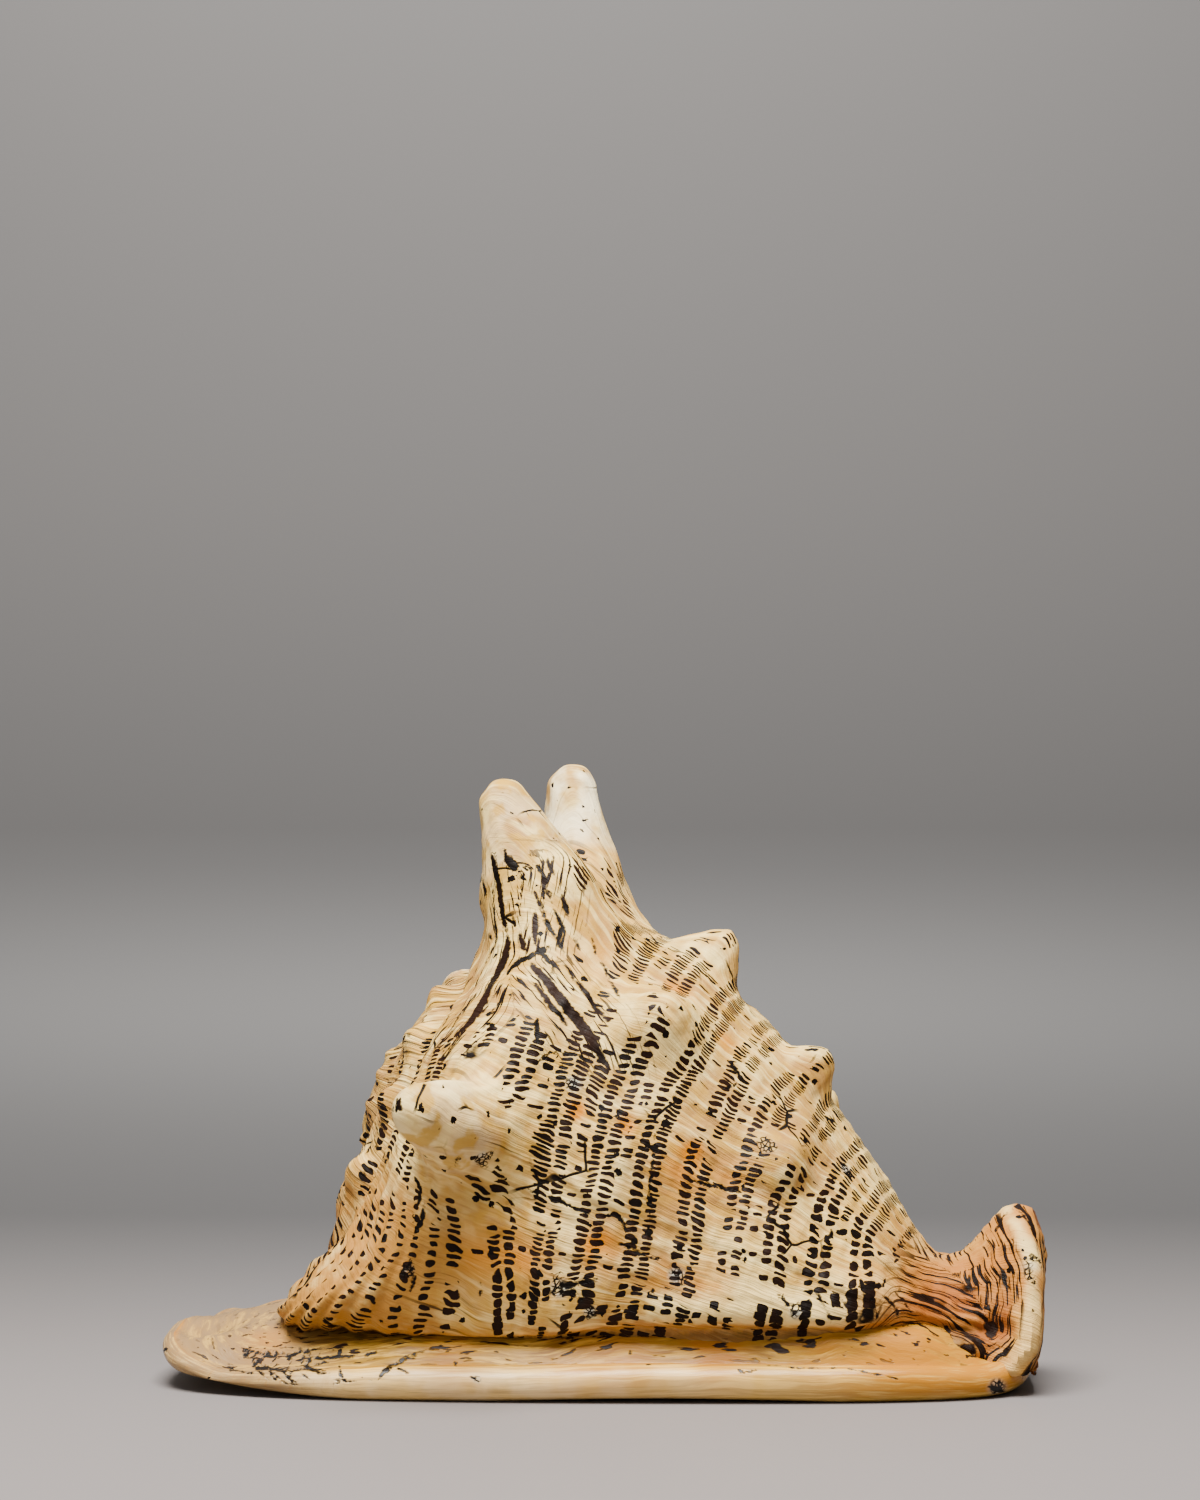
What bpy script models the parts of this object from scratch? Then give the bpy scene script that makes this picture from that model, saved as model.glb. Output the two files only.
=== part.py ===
"""Horned helmet conch shell, lying on the thick outer lip and the broad shield round its opening.

Metres, +Z up. The spire points to -X, the upturned canal to +X, and the outer lip faces -Y.
The whorl is a loft round a tilted coil axis. The horns and knobs are drawn out of it.
The lip and shield are one rolled plate. The mouth slit and the canal are cut out of the union.
"""
import bmesh
import bpy
import numpy as np
from math import radians, sin, cos, pi

MM = 0.001

# Coil axis: from the apex of the spire down to the canal, turned a little towards the lip side
APEX = np.array([-66, 8, 88.5]) * MM
AXIS_TILT = radians(22)
AXIS_TURN = radians(12)

# Whorl: place along the axis, then the radius on the back, lip side, far side and belly, in mm
STATIONS = np.array([
    (-5.5, 0, 0, 0, 0),
    (-4, 9, 9, 9, 9),
    (0.5, 23, 23, 23, 22),
    (7.5, 41, 38, 42, 38),
    (18, 59, 56, 61, 52),
    (30, 71, 68, 74, 60),
    (44, 76, 71, 78, 60),
    (62, 77, 69, 78, 56),
    (84, 72.5, 66, 73, 48),
    (108, 62.5, 61, 64, 40),
    (130, 51, 56, 54, 31),
    (150, 38, 50, 44, 23),
    (168, 26, 42, 34, 15),
    (181, 20, 34, 27, 11),
    (190.5, 24, 31, 25, 9),
    (200, 34, 32, 26, 8),
    (208.5, 42, 33, 28, 8),
    (215, 44, 34, 29, 8),
    (220, 40, 30, 25, 7),
    (221, 22, 17, 15, 4),
    (221.2, 0, 0, 0, 0),
]) * MM
ROUND = 2.0
LIP_SIDE_CORNER = 4.2
FAR_SIDE_CORNER = 2.6

# Fin: the canal's end leans back and turns square to X, from this place along the axis on
FIN_LEAN = 0.30
FIN_SQUARE = 0.20
FIN_START = 172 * MM
FIN_BLEND = 40 * MM

# Skirt: the last growth spreads out over the lip, most of all at the spire end
SKIRT_TOP = 66 * MM
SKIRT_DEPTH = 56 * MM
SKIRT_OUT = 40 * MM
SKIRT_SPREAD = 85 * MM
SKIRT_POWER = 1.8
SKIRT_FORWARD = 8 * MM
SKIRT_FORWARD_START = 125 * MM
SKIRT_FORWARD_BLEND = 50 * MM
BELLY_HEIGHT = 6 * MM
BELLY_SOFTNESS = 3 * MM

# Horns: place along the back's profile and turn from the back towards the lip, in mm and degrees,
# then the tip's centre, the tip's radius, the foot's radius, and the shaft's half-angle in degrees
HORNS = [
    (82, 13, (-29.5, -12, 176), 8.8, 37, 23),
    (84, -27, (-9.5, 42, 181.5), 8.8, 35, 11),
    (95, 83, (-53, -92, 88.5), 8.3, 25, 16),
    (86, -70, (-46, 98, 113), 8.0, 31, 13),
    (88, -116, (-66, 92, 52), 6.5, 27, 13),
]
HORN_CAP = 0.26
HORN_FOOT_SLOPE = 2.0
HORN_BLEND = 0.6

# Knobs: place along the back's profile, turn, height and radius
KNOBS = [
    (132, 36, 8.5, 21),
    (131, -5, 12.5, 17),
    (136, -42, 9, 17),
    (138, -80, 7, 17),
    (186, 52, 6, 16),
    (179, 3, 9, 14),
    (182, -40, 6, 14),
    (184, -85, 5, 14),
    (108, 100, 3.5, 11),
]

# Spire: small knobs that wind in from the shoulder towards the apex
SPIRE_KNOBS = 15
SPIRE_START = 118
SPIRE_TURN = 31
SPIRE_OUT = 48
SPIRE_STEP = 2.4
SPIRE_HEIGHT = 4.2
SPIRE_RADIUS = 9.5
SPIRE_SHRINK = 0.045

# Suture: the groove where each turn meets the one before, between the spire's knobs and the horns
SUTURE_OUT = 56 * MM
SUTURE_PITCH = 28 * MM
SUTURE_WIDTH = 4 * MM
SUTURE_DEPTH = 3 * MM
SUTURE_END = 70 * MM
SUTURE_FADE = 12 * MM

# Low spiral ridges that carry the rows of horns and knobs: place on the back, width and height
RIDGES = [(84, 14, 3.2), (132, 15, 1.4), (182, 13, 1.0)]
RIDGE_DRIFT = 10 * MM

# Lip and shield: x and y of the outline, lift off the ground, roll radius, rise towards the whorl
RIM = np.array([
    (-135, -42, 8.2, 3.8, 4),
    (-119, -62, 5.2, 4.6, 6),
    (-85, -74, 0.5, 6.4, 6),
    (-35, -80, 0.0, 7.0, 5),
    (25, -82, 1.4, 6.6, 6),
    (80, -81, 0.0, 7.0, 6),
    (116, -73, 0.0, 6.8, 6),
    (131, -57, 0.6, 7.0, 5),
    (132, -26, 1.0, 6.0, 6),
    (117, 18, 0.6, 4.6, 10),
    (82, 66, 0.0, 4.4, 12),
    (30, 102, 0.0, 4.4, 12),
    (-25, 114, 0.0, 4.4, 12),
    (-75, 98, 0.6, 4.2, 12),
    (-112, 58, 5.0, 4.5, 8),
    (-131, 3, 8.0, 4.5, 5),
]) * MM
RIM_CENTRE = np.array([5, -10]) * MM
RISE_WIDTH = 45 * MM
FLAT_WIDTH = 12 * MM
HOLLOW_WIDTH = 30 * MM
HOLLOW = 4 * MM
TOP_SHARES = (0.45, 0.75, 0.92, 1.0)

# Mouth: a long slit between the toothed outer lip and the shield, and the hollow above it
MOUTH_START = -74 * MM
MOUTH_END = 122 * MM
MOUTH_Y = -43 * MM
MOUTH_BOW = 4 * MM
MOUTH_HALF = 7.5 * MM
MOUTH_DEPTH = 156 * MM
MOUTH_END_SHARPNESS = 8
TEETH = 13
TOOTH = 2.2 * MM
TOOTH_TOP = 3 * MM
# Its section, bottom to top: height in mm, share of the depth added, share of the width, teeth
MOUTH_LEVELS = [(-4, 0, 1.05, 1), (0.5, 0, 1.05, 1), (12, 0, 0.95, 0), (12, 0.5, 1.05, 0), (12, 1, 0.55, 0)]

# Canal: from the slit's end up and out between the two walls of the fin
CANAL_PATH = np.array([
    (96, -45, -4),
    (112, -44, 3),
    (126, -41, 13),
    (136, -38, 28),
    (142, -36, 48),
    (144, -35, 66),
]) * MM
CANAL_RADIUS = 8.5 * MM
CANAL_NARROW = 4.5 * MM
CANAL_STEPS = 12

# Stance: moves the whole shell so that the middle of its base is the origin
STANCE = np.array([-1.37, -7.04, 0]) * MM

# Faceting
RINGS = 44
SPOKES = 60
RIM_STEPS = 64
MOUTH_STEPS = 66
CANAL_SIDES = 14
RING_WIDTH = 28 * MM
RING_PULL = 2.2
SPOKE_WIDTH = 0.22
SPOKE_PULL = 1.3

# Colour: ivory with tan clouds, softly polished
IVORY = (0.72, 0.55, 0.36, 1.0)
ROUGHNESS = 0.42


def clear_scene():
    """Remove every object of the scene that the script starts in."""
    for item in list(bpy.data.objects):
        bpy.data.objects.remove(item)


def smooth(x):
    """Rise from 0 to 1 with level ends, as x runs from 0 to 1."""
    x = np.clip(x, 0, 1)
    return x * x * (3 - 2 * x)


def hump(x):
    """A bell of height 1 round x = 0."""
    return np.exp(-x * x)


def spline(knots, values, u):
    """Natural cubic through the rows of values at the knots, read at every u."""
    count = len(knots)
    gap = np.diff(knots)
    slope = np.diff(values, axis=0) / gap[:, None]
    matrix = np.zeros((count, count))
    right = np.zeros((count, values.shape[1]))
    matrix[0, 0] = matrix[-1, -1] = 1
    inner = np.arange(1, count - 1)
    matrix[inner, inner - 1] = gap[:-1]
    matrix[inner, inner] = 2 * (gap[:-1] + gap[1:])
    matrix[inner, inner + 1] = gap[1:]
    right[1:-1] = 6 * np.diff(slope, axis=0)
    bend = np.linalg.solve(matrix, right)
    k = np.clip(np.searchsorted(knots, u, side="right") - 1, 0, count - 2)
    t = (u - knots[k])[:, None]
    step = gap[k][:, None]
    first = slope[k] - step * (2 * bend[k] + bend[k + 1]) / 6
    third = (bend[k + 1] - bend[k]) / (6 * step)
    return values[k] + first * t + bend[k] / 2 * t**2 + third * t**3


def closed_spline(values, u):
    """Smooth loop through the rows of values, evenly spaced, for u from 0 to 1 round the loop."""
    count = len(values)
    index = np.arange(-4, count + 5)
    return spline(index / count, values[index % count], u % 1.0)


# Directions: along the coil axis, towards the back and towards the lip side
ALONG = np.array([cos(AXIS_TILT) * cos(AXIS_TURN), -cos(AXIS_TILT) * sin(AXIS_TURN), -sin(AXIS_TILT)])
BACK = np.array([sin(AXIS_TILT) * cos(AXIS_TURN), -sin(AXIS_TILT) * sin(AXIS_TURN), cos(AXIS_TILT)])
LIPWARD = np.array([-sin(AXIS_TURN), -cos(AXIS_TURN), 0.0])

# Profile: length along the back, from the apex to the canal's end, at each station
PROFILE = np.concatenate([[0], np.cumsum(np.hypot(np.diff(STATIONS[:, 0]), np.diff(STATIONS[:, 1])))])


def whorl(s, turn):
    """Points of the plain whorl, s along the back's profile and turn round the axis from the back."""
    along, back, lip, far, belly = spline(PROFILE, STATIONS, s.ravel()).T
    c, d = np.cos(turn.ravel()), np.sin(turn.ravel())
    up = np.maximum(np.where(c > 0, back, belly), 1e-6)
    side = np.maximum(np.where(d > 0, lip, far), 1e-6)
    power = np.where(c > 0, ROUND, np.where(d > 0, LIP_SIDE_CORNER, FAR_SIDE_CORNER))
    radius = (np.abs(c / up) ** power + np.abs(d / side) ** power) ** (-1 / power)
    drift = RIDGE_DRIFT * np.sin(turn.ravel())
    for place, width, height in RIDGES:
        radius = radius + height * MM * hump((s.ravel() - place * MM - drift) / (width * MM))
    round_axis = np.arctan2(d, c) / (2 * pi)
    for wind in (-1, 0, 1):
        suture = SUTURE_OUT + SUTURE_PITCH * (round_axis - SPIRE_START / 360 - wind)
        depth = SUTURE_DEPTH * smooth((SUTURE_END - suture) / SUTURE_FADE)
        along = along + depth * hump((s.ravel() - suture) / SUTURE_WIDTH)
    fin = smooth((along - FIN_START) / FIN_BLEND)
    along = along + (FIN_SQUARE * d - FIN_LEAN * c) * radius * fin
    p = APEX + along[:, None] * ALONG + (radius * c)[:, None] * BACK + (radius * d)[:, None] * LIPWARD
    low = smooth((SKIRT_TOP - p[:, 2]) / SKIRT_DEPTH)
    spire_end = smooth(-p[:, 0] / SKIRT_SPREAD)
    lip_side = smooth(-p[:, 1] / SKIRT_FORWARD_BLEND)
    lip_side = lip_side * smooth((SKIRT_FORWARD_START - p[:, 0]) / SKIRT_FORWARD_BLEND)
    p[:, 0] -= SKIRT_OUT * low**SKIRT_POWER * spire_end
    p[:, 1] -= SKIRT_FORWARD * low * lip_side
    p[:, 2] = BELLY_HEIGHT + BELLY_SOFTNESS * np.log1p(np.exp((p[:, 2] - BELLY_HEIGHT) / BELLY_SOFTNESS))
    return p.reshape(s.shape + (3,))


def seat(s, turn):
    """A point of the plain whorl and its outward normal, for one place s and turn."""
    h = 1e-3
    places = np.array([s, s + h, s - h, s, s])
    turns = np.array([turn, turn, turn, turn + 0.02, turn - 0.02])
    p = whorl(places, turns)
    normal = np.cross(p[1] - p[2], p[3] - p[4])
    normal /= np.linalg.norm(normal)
    outward = p[0] - (APEX + 0.05 * ALONG)
    return p[0], normal * np.sign(normal @ outward)


def draw_horn(p, s, turn, tip, tip_radius, foot_radius, half_angle):
    """Draw the whorl out into a thick finger: a round cap, a cone of the half-angle and a flared foot.

    q is the distance from the middle of the foot as a share of its radius. Its first part makes the
    cap. Down the rest, x from 0 to 1, the height falls as 1 - (1 - x)^2, and the width follows a
    cubic that leaves the cap along the cone and meets the foot's rim. From HORN_BLEND on, the
    finger melts into the plain whorl.
    """
    foot, _ = seat(s, turn)
    rel = p - foot
    axis = tip - foot
    length = np.linalg.norm(axis) + tip_radius
    axis = axis / np.linalg.norm(axis)
    height = rel @ axis
    lateral = rel - height[..., None] * axis
    lateral_length = np.maximum(np.linalg.norm(lateral, axis=-1), 1e-9)
    distance = np.maximum(np.linalg.norm(rel, axis=-1), 1e-9)
    q = np.clip(distance / foot_radius, 0, 1)
    cap = (pi / 2 - half_angle) * np.clip(q / HORN_CAP, 0, 1)
    x = np.clip((q - HORN_CAP) / (1 - HORN_CAP), 0, 1)
    cap_width = tip_radius * cos(half_angle)
    cap_depth = tip_radius * (1 - sin(half_angle))
    start = 2 * np.tan(half_angle) * (length - cap_depth) / (foot_radius - cap_width)
    spread = start * (x**3 - 2 * x**2 + x) + 3 * x**2 - 2 * x**3 + HORN_FOOT_SLOPE * (x**3 - x**2)
    out = tip_radius * np.sin(cap) + (foot_radius - cap_width) * spread
    fall = tip_radius * (1 - np.cos(cap)) + (length - cap_depth) * (1 - (1 - x) ** 2)
    out = out * (1 + (lateral_length / distance - 1) * smooth(x))
    blend = smooth((q - HORN_BLEND) / (1 - HORN_BLEND))
    out = out * (1 - blend) + lateral_length * blend
    rise = length - fall + height * smooth(q)
    drawn = foot + axis * rise[..., None] + lateral * (out / lateral_length)[..., None]
    return np.where((q < 1)[..., None], drawn, p)


def draw_knob(p, s, turn, height, radius):
    """Raise a low rounded knob: height times (1 - q^2)^2.5 along the whorl's normal."""
    foot, normal = seat(s, turn)
    q = np.clip(np.linalg.norm(p - foot, axis=-1) / radius, 0, 1)
    return p + normal * (height * (1 - q * q) ** 2.5)[..., None]


def horned_whorl(s, turn):
    """Points of the whorl with its horns, its two rows of knobs and the small knobs of the spire."""
    p = whorl(s, turn)
    for place, angle, tip, tip_radius, foot_radius, half_angle in HORNS:
        finger = (np.array(tip) * MM, tip_radius * MM, foot_radius * MM, radians(half_angle))
        p = draw_horn(p, place * MM, radians(angle), *finger)
    for place, angle, height, radius in KNOBS:
        p = draw_knob(p, place * MM, radians(angle), height * MM, radius * MM)
    for i in range(SPIRE_KNOBS):
        place = (SPIRE_OUT - SPIRE_STEP * i) * MM
        shrink = 1 - SPIRE_SHRINK * i
        angle = radians(SPIRE_START - SPIRE_TURN * i)
        p = draw_knob(p, place, angle, SPIRE_HEIGHT * shrink * MM, SPIRE_RADIUS * shrink * MM)
    return p


def gathered(low, high, count, centres, width, pull):
    """Values from low to high that gather round the centres, where the density is 1 + pull."""
    fine = np.linspace(low, high, 2000)
    density = 1 + pull * np.clip(sum(hump((fine - c) / width) for c in centres), 0, 1)
    total = np.concatenate([[0], np.cumsum((density[1:] + density[:-1]) / 2)])
    return np.interp(np.linspace(0, total[-1], count), total, fine)


def add_object(name, collection, points, faces):
    """Make a mesh object from points and faces in a collection, with its faces turned outwards."""
    mesh = bpy.data.meshes.new(name)
    mesh.from_pydata((points + STANCE).tolist(), [], faces)
    work = bmesh.new()
    work.from_mesh(mesh)
    bmesh.ops.recalc_face_normals(work, faces=work.faces)
    work.to_mesh(mesh)
    work.free()
    item = bpy.data.objects.new(name, mesh)
    collection.objects.link(item)
    return item


def tube_faces(rows, columns):
    """Quads of a grid of rows, closed round its columns, with a pole before and after the rows."""
    start = 1
    last = 1 + rows * columns
    faces = []
    for c in range(columns):
        d = (c + 1) % columns
        faces.append((0, start + c, start + d))
        for r in range(rows - 1):
            a = start + r * columns
            b = a + columns
            faces.append((a + c, b + c, b + d, a + d))
        a = start + (rows - 1) * columns
        faces.append((a + c, last, a + d))
    return faces


def make_whorl(collection):
    """The whorl from apex to canal as a closed loft, denser where the horns and knobs stand."""
    shoulder = [h[0] * MM for h in HORNS]
    s = gathered(0, PROFILE[-1], RINGS + 2, shoulder, RING_WIDTH, RING_PULL)
    angles = [radians(h[1] + 180) for h in HORNS]
    turn = pi + gathered(0, 2 * pi, SPOKES + 1, angles, SPOKE_WIDTH, SPOKE_PULL)[:-1]
    grid_s, grid_turn = np.meshgrid(s[1:-1], turn, indexing="ij")
    body = horned_whorl(grid_s, grid_turn).reshape(-1, 3)
    poles = whorl(s[[0, -1]], np.zeros(2))
    points = np.concatenate([poles[:1], body, poles[1:]])
    return add_object("shell", collection, points, tube_faces(RINGS, SPOKES))


def make_rim(collection):
    """The lip and shield as a closed plate: outline times a section with a rolled edge.

    The section runs from the plate's middle over its top, round the roll and back under it. Its
    underside rests flat near the edge and is hollow further in.
    """
    u = np.arange(RIM_STEPS) / RIM_STEPS
    x, y, lift, roll, rise = closed_spline(RIM, u).T
    spoke = np.stack([x, y], 1) - RIM_CENTRE
    reach = np.linalg.norm(spoke, axis=1)
    spoke = spoke / reach[:, None]
    lift = np.maximum(lift, 0)
    inner = reach - roll
    rows = []
    for share in TOP_SHARES:
        inset = inner * (1 - share)
        rows.append((inner * share, lift + 2 * roll + rise * smooth(inset / RISE_WIDTH)))
    for angle in np.linspace(pi / 2, -pi / 2, 7)[1:-1]:
        rows.append((inner + roll * np.cos(angle), lift + roll + roll * np.sin(angle)))
    for inset in (0 * MM, FLAT_WIDTH, FLAT_WIDTH + 0.5 * HOLLOW_WIDTH, FLAT_WIDTH + HOLLOW_WIDTH):
        hollow = smooth((inset - FLAT_WIDTH) / HOLLOW_WIDTH)
        rows.append((inner - inset, lift * (1 - hollow) + HOLLOW * hollow))
    rings = [np.column_stack([RIM_CENTRE + spoke * out[:, None], z]) for out, z in rows]
    top_height = float(np.mean(lift + 2 * roll + rise))
    top = np.array([[*RIM_CENTRE, top_height]])
    bottom = np.array([[*RIM_CENTRE, HOLLOW]])
    points = np.concatenate([top, *rings, bottom])
    return add_object("lip_and_shield", collection, points, tube_faces(len(rows), RIM_STEPS))


def make_mouth(collection):
    """Cutter for the mouth: a bowed slit with a toothed lip edge, and the narrow hollow above it."""
    t = (np.arange(MOUTH_STEPS) + 0.5) / MOUTH_STEPS
    x = MOUTH_START + (MOUTH_END - MOUTH_START) * t
    ends = (1 - (2 * t - 1) ** MOUTH_END_SHARPNESS) ** 0.5
    middle = MOUTH_Y - MOUTH_BOW * (2 * t - 1) ** 2
    depth = TOOTH_TOP + MOUTH_DEPTH * t**0.5 * (1 - t)
    teeth = TOOTH * np.cos(2 * pi * TEETH * t)
    rings = []
    for side, levels in ((-1, MOUTH_LEVELS), (1, MOUTH_LEVELS[::-1])):
        for height, share, width, toothed in levels:
            across = middle + side * MOUTH_HALF * width * ends
            if side < 0:
                across = across + toothed * teeth * ends
            rings.append(np.column_stack([x, across, height * MM + share * depth]))
    rows = np.stack(rings, 1).reshape(-1, 3)
    poles = np.array([[MOUTH_START, MOUTH_Y - MOUTH_BOW, 4 * MM], [MOUTH_END, MOUTH_Y - MOUTH_BOW, 4 * MM]])
    points = np.concatenate([poles[:1], rows, poles[1:]])
    return add_object("mouth_cutter", collection, points, tube_faces(MOUTH_STEPS, len(rings)))


def make_canal(collection):
    """Cutter for the canal: a flattened round section swept up its path."""
    u = np.linspace(0, 1, CANAL_STEPS)
    knots = np.linspace(0, 1, len(CANAL_PATH))
    path = spline(knots, CANAL_PATH, u)
    tangent = np.gradient(path, axis=0)
    tangent /= np.linalg.norm(tangent, axis=1)[:, None]
    across = np.array([0.0, 1.0, 0.0])
    normal = np.cross(tangent, across)
    normal /= np.linalg.norm(normal, axis=1)[:, None]
    angle = 2 * pi * np.arange(CANAL_SIDES) / CANAL_SIDES
    wide = (CANAL_RADIUS * np.cos(angle))[None, :, None] * normal[:, None, :]
    narrow = (CANAL_NARROW * np.sin(angle))[None, :, None] * across
    rows = (path[:, None, :] + wide + narrow).reshape(-1, 3)
    points = np.concatenate([path[:1], rows, path[-1:]])
    return add_object("canal_cutter", collection, points, tube_faces(len(u), CANAL_SIDES))


def add_boolean(item, operand, operation):
    """Join or cut an item with an operand by an exact Boolean."""
    boolean = item.modifiers.new(operand.name, "BOOLEAN")
    boolean.operation = operation
    boolean.solver = "EXACT"
    boolean.object = operand
    operand.hide_render = True
    operand.display_type = "WIRE"


def shell_material():
    """Ivory shell with a soft polish."""
    material = bpy.data.materials.new("shell_ivory")
    material.use_nodes = True
    shader = material.node_tree.nodes["Principled BSDF"]
    shader.inputs["Base Color"].default_value = IVORY
    shader.inputs["Roughness"].default_value = ROUGHNESS
    shader.inputs["Metallic"].default_value = 0.0
    return material


def build():
    """Make the shell: the whorl joined with its lip and shield, less the mouth and the canal."""
    clear_scene()
    parts = bpy.data.collections.new("helmet_conch_shell")
    cutters = bpy.data.collections.new("joined_and_cut_forms")
    bpy.context.scene.collection.children.link(parts)
    bpy.context.scene.collection.children.link(cutters)
    shell = make_whorl(parts)
    rim = make_rim(cutters)
    mouth = make_mouth(cutters)
    canal = make_canal(cutters)
    add_boolean(shell, rim, "UNION")
    add_boolean(shell, mouth, "DIFFERENCE")
    add_boolean(shell, canal, "DIFFERENCE")
    shell.data.materials.append(shell_material())


build()
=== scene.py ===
"""Horned helmet conch shell lying on its lip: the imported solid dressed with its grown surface."""
from math import cos, pi, radians, sin

import bmesh
import bpy
import numpy as np
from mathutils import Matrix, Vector


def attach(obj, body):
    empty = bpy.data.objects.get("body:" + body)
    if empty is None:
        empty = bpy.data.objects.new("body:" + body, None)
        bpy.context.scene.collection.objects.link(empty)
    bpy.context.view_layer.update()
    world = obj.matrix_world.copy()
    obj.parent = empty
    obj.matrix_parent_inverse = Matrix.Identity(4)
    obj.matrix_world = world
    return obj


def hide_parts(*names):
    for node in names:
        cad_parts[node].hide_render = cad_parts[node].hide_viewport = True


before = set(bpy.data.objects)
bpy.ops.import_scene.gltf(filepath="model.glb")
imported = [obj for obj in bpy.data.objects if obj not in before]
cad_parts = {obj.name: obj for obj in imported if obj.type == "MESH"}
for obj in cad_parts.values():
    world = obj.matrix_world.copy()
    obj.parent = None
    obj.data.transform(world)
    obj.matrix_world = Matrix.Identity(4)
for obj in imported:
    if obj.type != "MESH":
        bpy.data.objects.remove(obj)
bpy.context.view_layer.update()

MM = 0.001


# Whorl: the body of the shell, grown as one coil of chalky layers from the small spire at the left
# to the canal at the right, with blunt horns on its shoulder and rows of knobs further along.
# It is a loft round a tilted axis, drawn out into the horns, with its growth relief on top.

STANCE = np.array([-1.37, -7.04, 0]) * MM
APEX = np.array([-66, 8, 88.5]) * MM
AXIS_TILT = radians(22)
AXIS_TURN = radians(12)
ALONG = np.array([cos(AXIS_TILT) * cos(AXIS_TURN), -cos(AXIS_TILT) * sin(AXIS_TURN), -sin(AXIS_TILT)])
BACK = np.array([sin(AXIS_TILT) * cos(AXIS_TURN), -sin(AXIS_TILT) * sin(AXIS_TURN), cos(AXIS_TILT)])
LIPWARD = np.array([-sin(AXIS_TURN), -cos(AXIS_TURN), 0.0])

# Place along the axis, then the radius on the back, lip side, far side and belly, in mm
STATIONS = np.array([
    (-5.5, 0, 0, 0, 0),
    (-4, 9, 9, 9, 9),
    (0.5, 23, 23, 23, 22),
    (7.5, 41, 38, 42, 38),
    (18, 59, 56, 61, 52),
    (30, 71, 68, 74, 60),
    (44, 76, 71, 78, 60),
    (62, 77, 69, 78, 56),
    (84, 72.5, 66, 73, 48),
    (108, 62.5, 61, 64, 40),
    (130, 51, 56, 54, 31),
    (150, 38, 50, 44, 23),
    (168, 26, 42, 34, 15),
    (181, 20, 34, 27, 11),
    (190.5, 24, 31, 25, 9),
    (200, 34, 32, 26, 8),
    (208.5, 42, 33, 28, 8),
    (215, 44, 34, 29, 8),
    (220, 40, 30, 25, 7),
    (221, 22, 17, 15, 4),
    (221.2, 0, 0, 0, 0),
]) * MM
PROFILE = np.concatenate([[0], np.cumsum(np.hypot(np.diff(STATIONS[:, 0]), np.diff(STATIONS[:, 1])))])
ROUND = 2.0
LIP_SIDE_CORNER = 4.2
FAR_SIDE_CORNER = 2.6
FIN_LEAN = 0.30
FIN_SQUARE = 0.20
FIN_START = 172 * MM
FIN_BLEND = 40 * MM
SKIRT_TOP = 66 * MM
SKIRT_DEPTH = 56 * MM
SKIRT_OUT = 40 * MM
SKIRT_SPREAD = 85 * MM
SKIRT_POWER = 1.8
SKIRT_FORWARD = 8 * MM
SKIRT_FORWARD_START = 125 * MM
SKIRT_FORWARD_BLEND = 50 * MM
BELLY_HEIGHT = 6 * MM
BELLY_SOFTNESS = 3 * MM
SUTURE_OUT = 56 * MM
SUTURE_PITCH = 28 * MM
SUTURE_WIDTH = 4 * MM
SUTURE_DEPTH = 3 * MM
SUTURE_END = 70 * MM
SUTURE_FADE = 12 * MM
RIDGES = [(84, 14, 3.2), (132, 15, 1.4), (182, 13, 1.0)]
RIDGE_DRIFT = 10 * MM

# Place on the profile and turn, the tip's centre, tip and foot radius, and the shaft's half-angle
HORNS = [
    (82, 13, (-29.5, -12, 176), 8.8, 37, 23),
    (84, -27, (-9.5, 42, 181.5), 8.8, 35, 11),
    (95, 83, (-53, -92, 88.5), 8.3, 25, 16),
    (86, -70, (-46, 98, 113), 8.0, 31, 13),
    (88, -116, (-66, 92, 52), 6.5, 27, 13),
]
HORN_CAP = 0.26
HORN_FOOT_SLOPE = 2.0
HORN_BLEND = 0.6

# Place on the profile, turn, height and radius
KNOBS = [
    (132, 36, 8.5, 21),
    (131, -5, 12.5, 17),
    (136, -42, 9, 17),
    (138, -80, 7, 17),
    (186, 52, 6, 16),
    (179, 3, 9, 14),
    (182, -40, 6, 14),
    (184, -85, 5, 14),
    (108, 100, 3.5, 11),
]
SPIRE_KNOBS = 15
SPIRE_START = 118
SPIRE_TURN = 31
SPIRE_OUT = 48
SPIRE_STEP = 2.4
SPIRE_HEIGHT = 4.2
SPIRE_RADIUS = 9.5
SPIRE_SHRINK = 0.045


def smooth(x):
    """Rise from 0 to 1 with level ends, 3x^2 - 2x^3, as x runs from 0 to 1."""
    x = np.clip(x, 0, 1)
    return x * x * (3 - 2 * x)


def hump(x):
    """A bell of height 1 round x = 0, exp(-x^2)."""
    return np.exp(-x * x)


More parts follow.
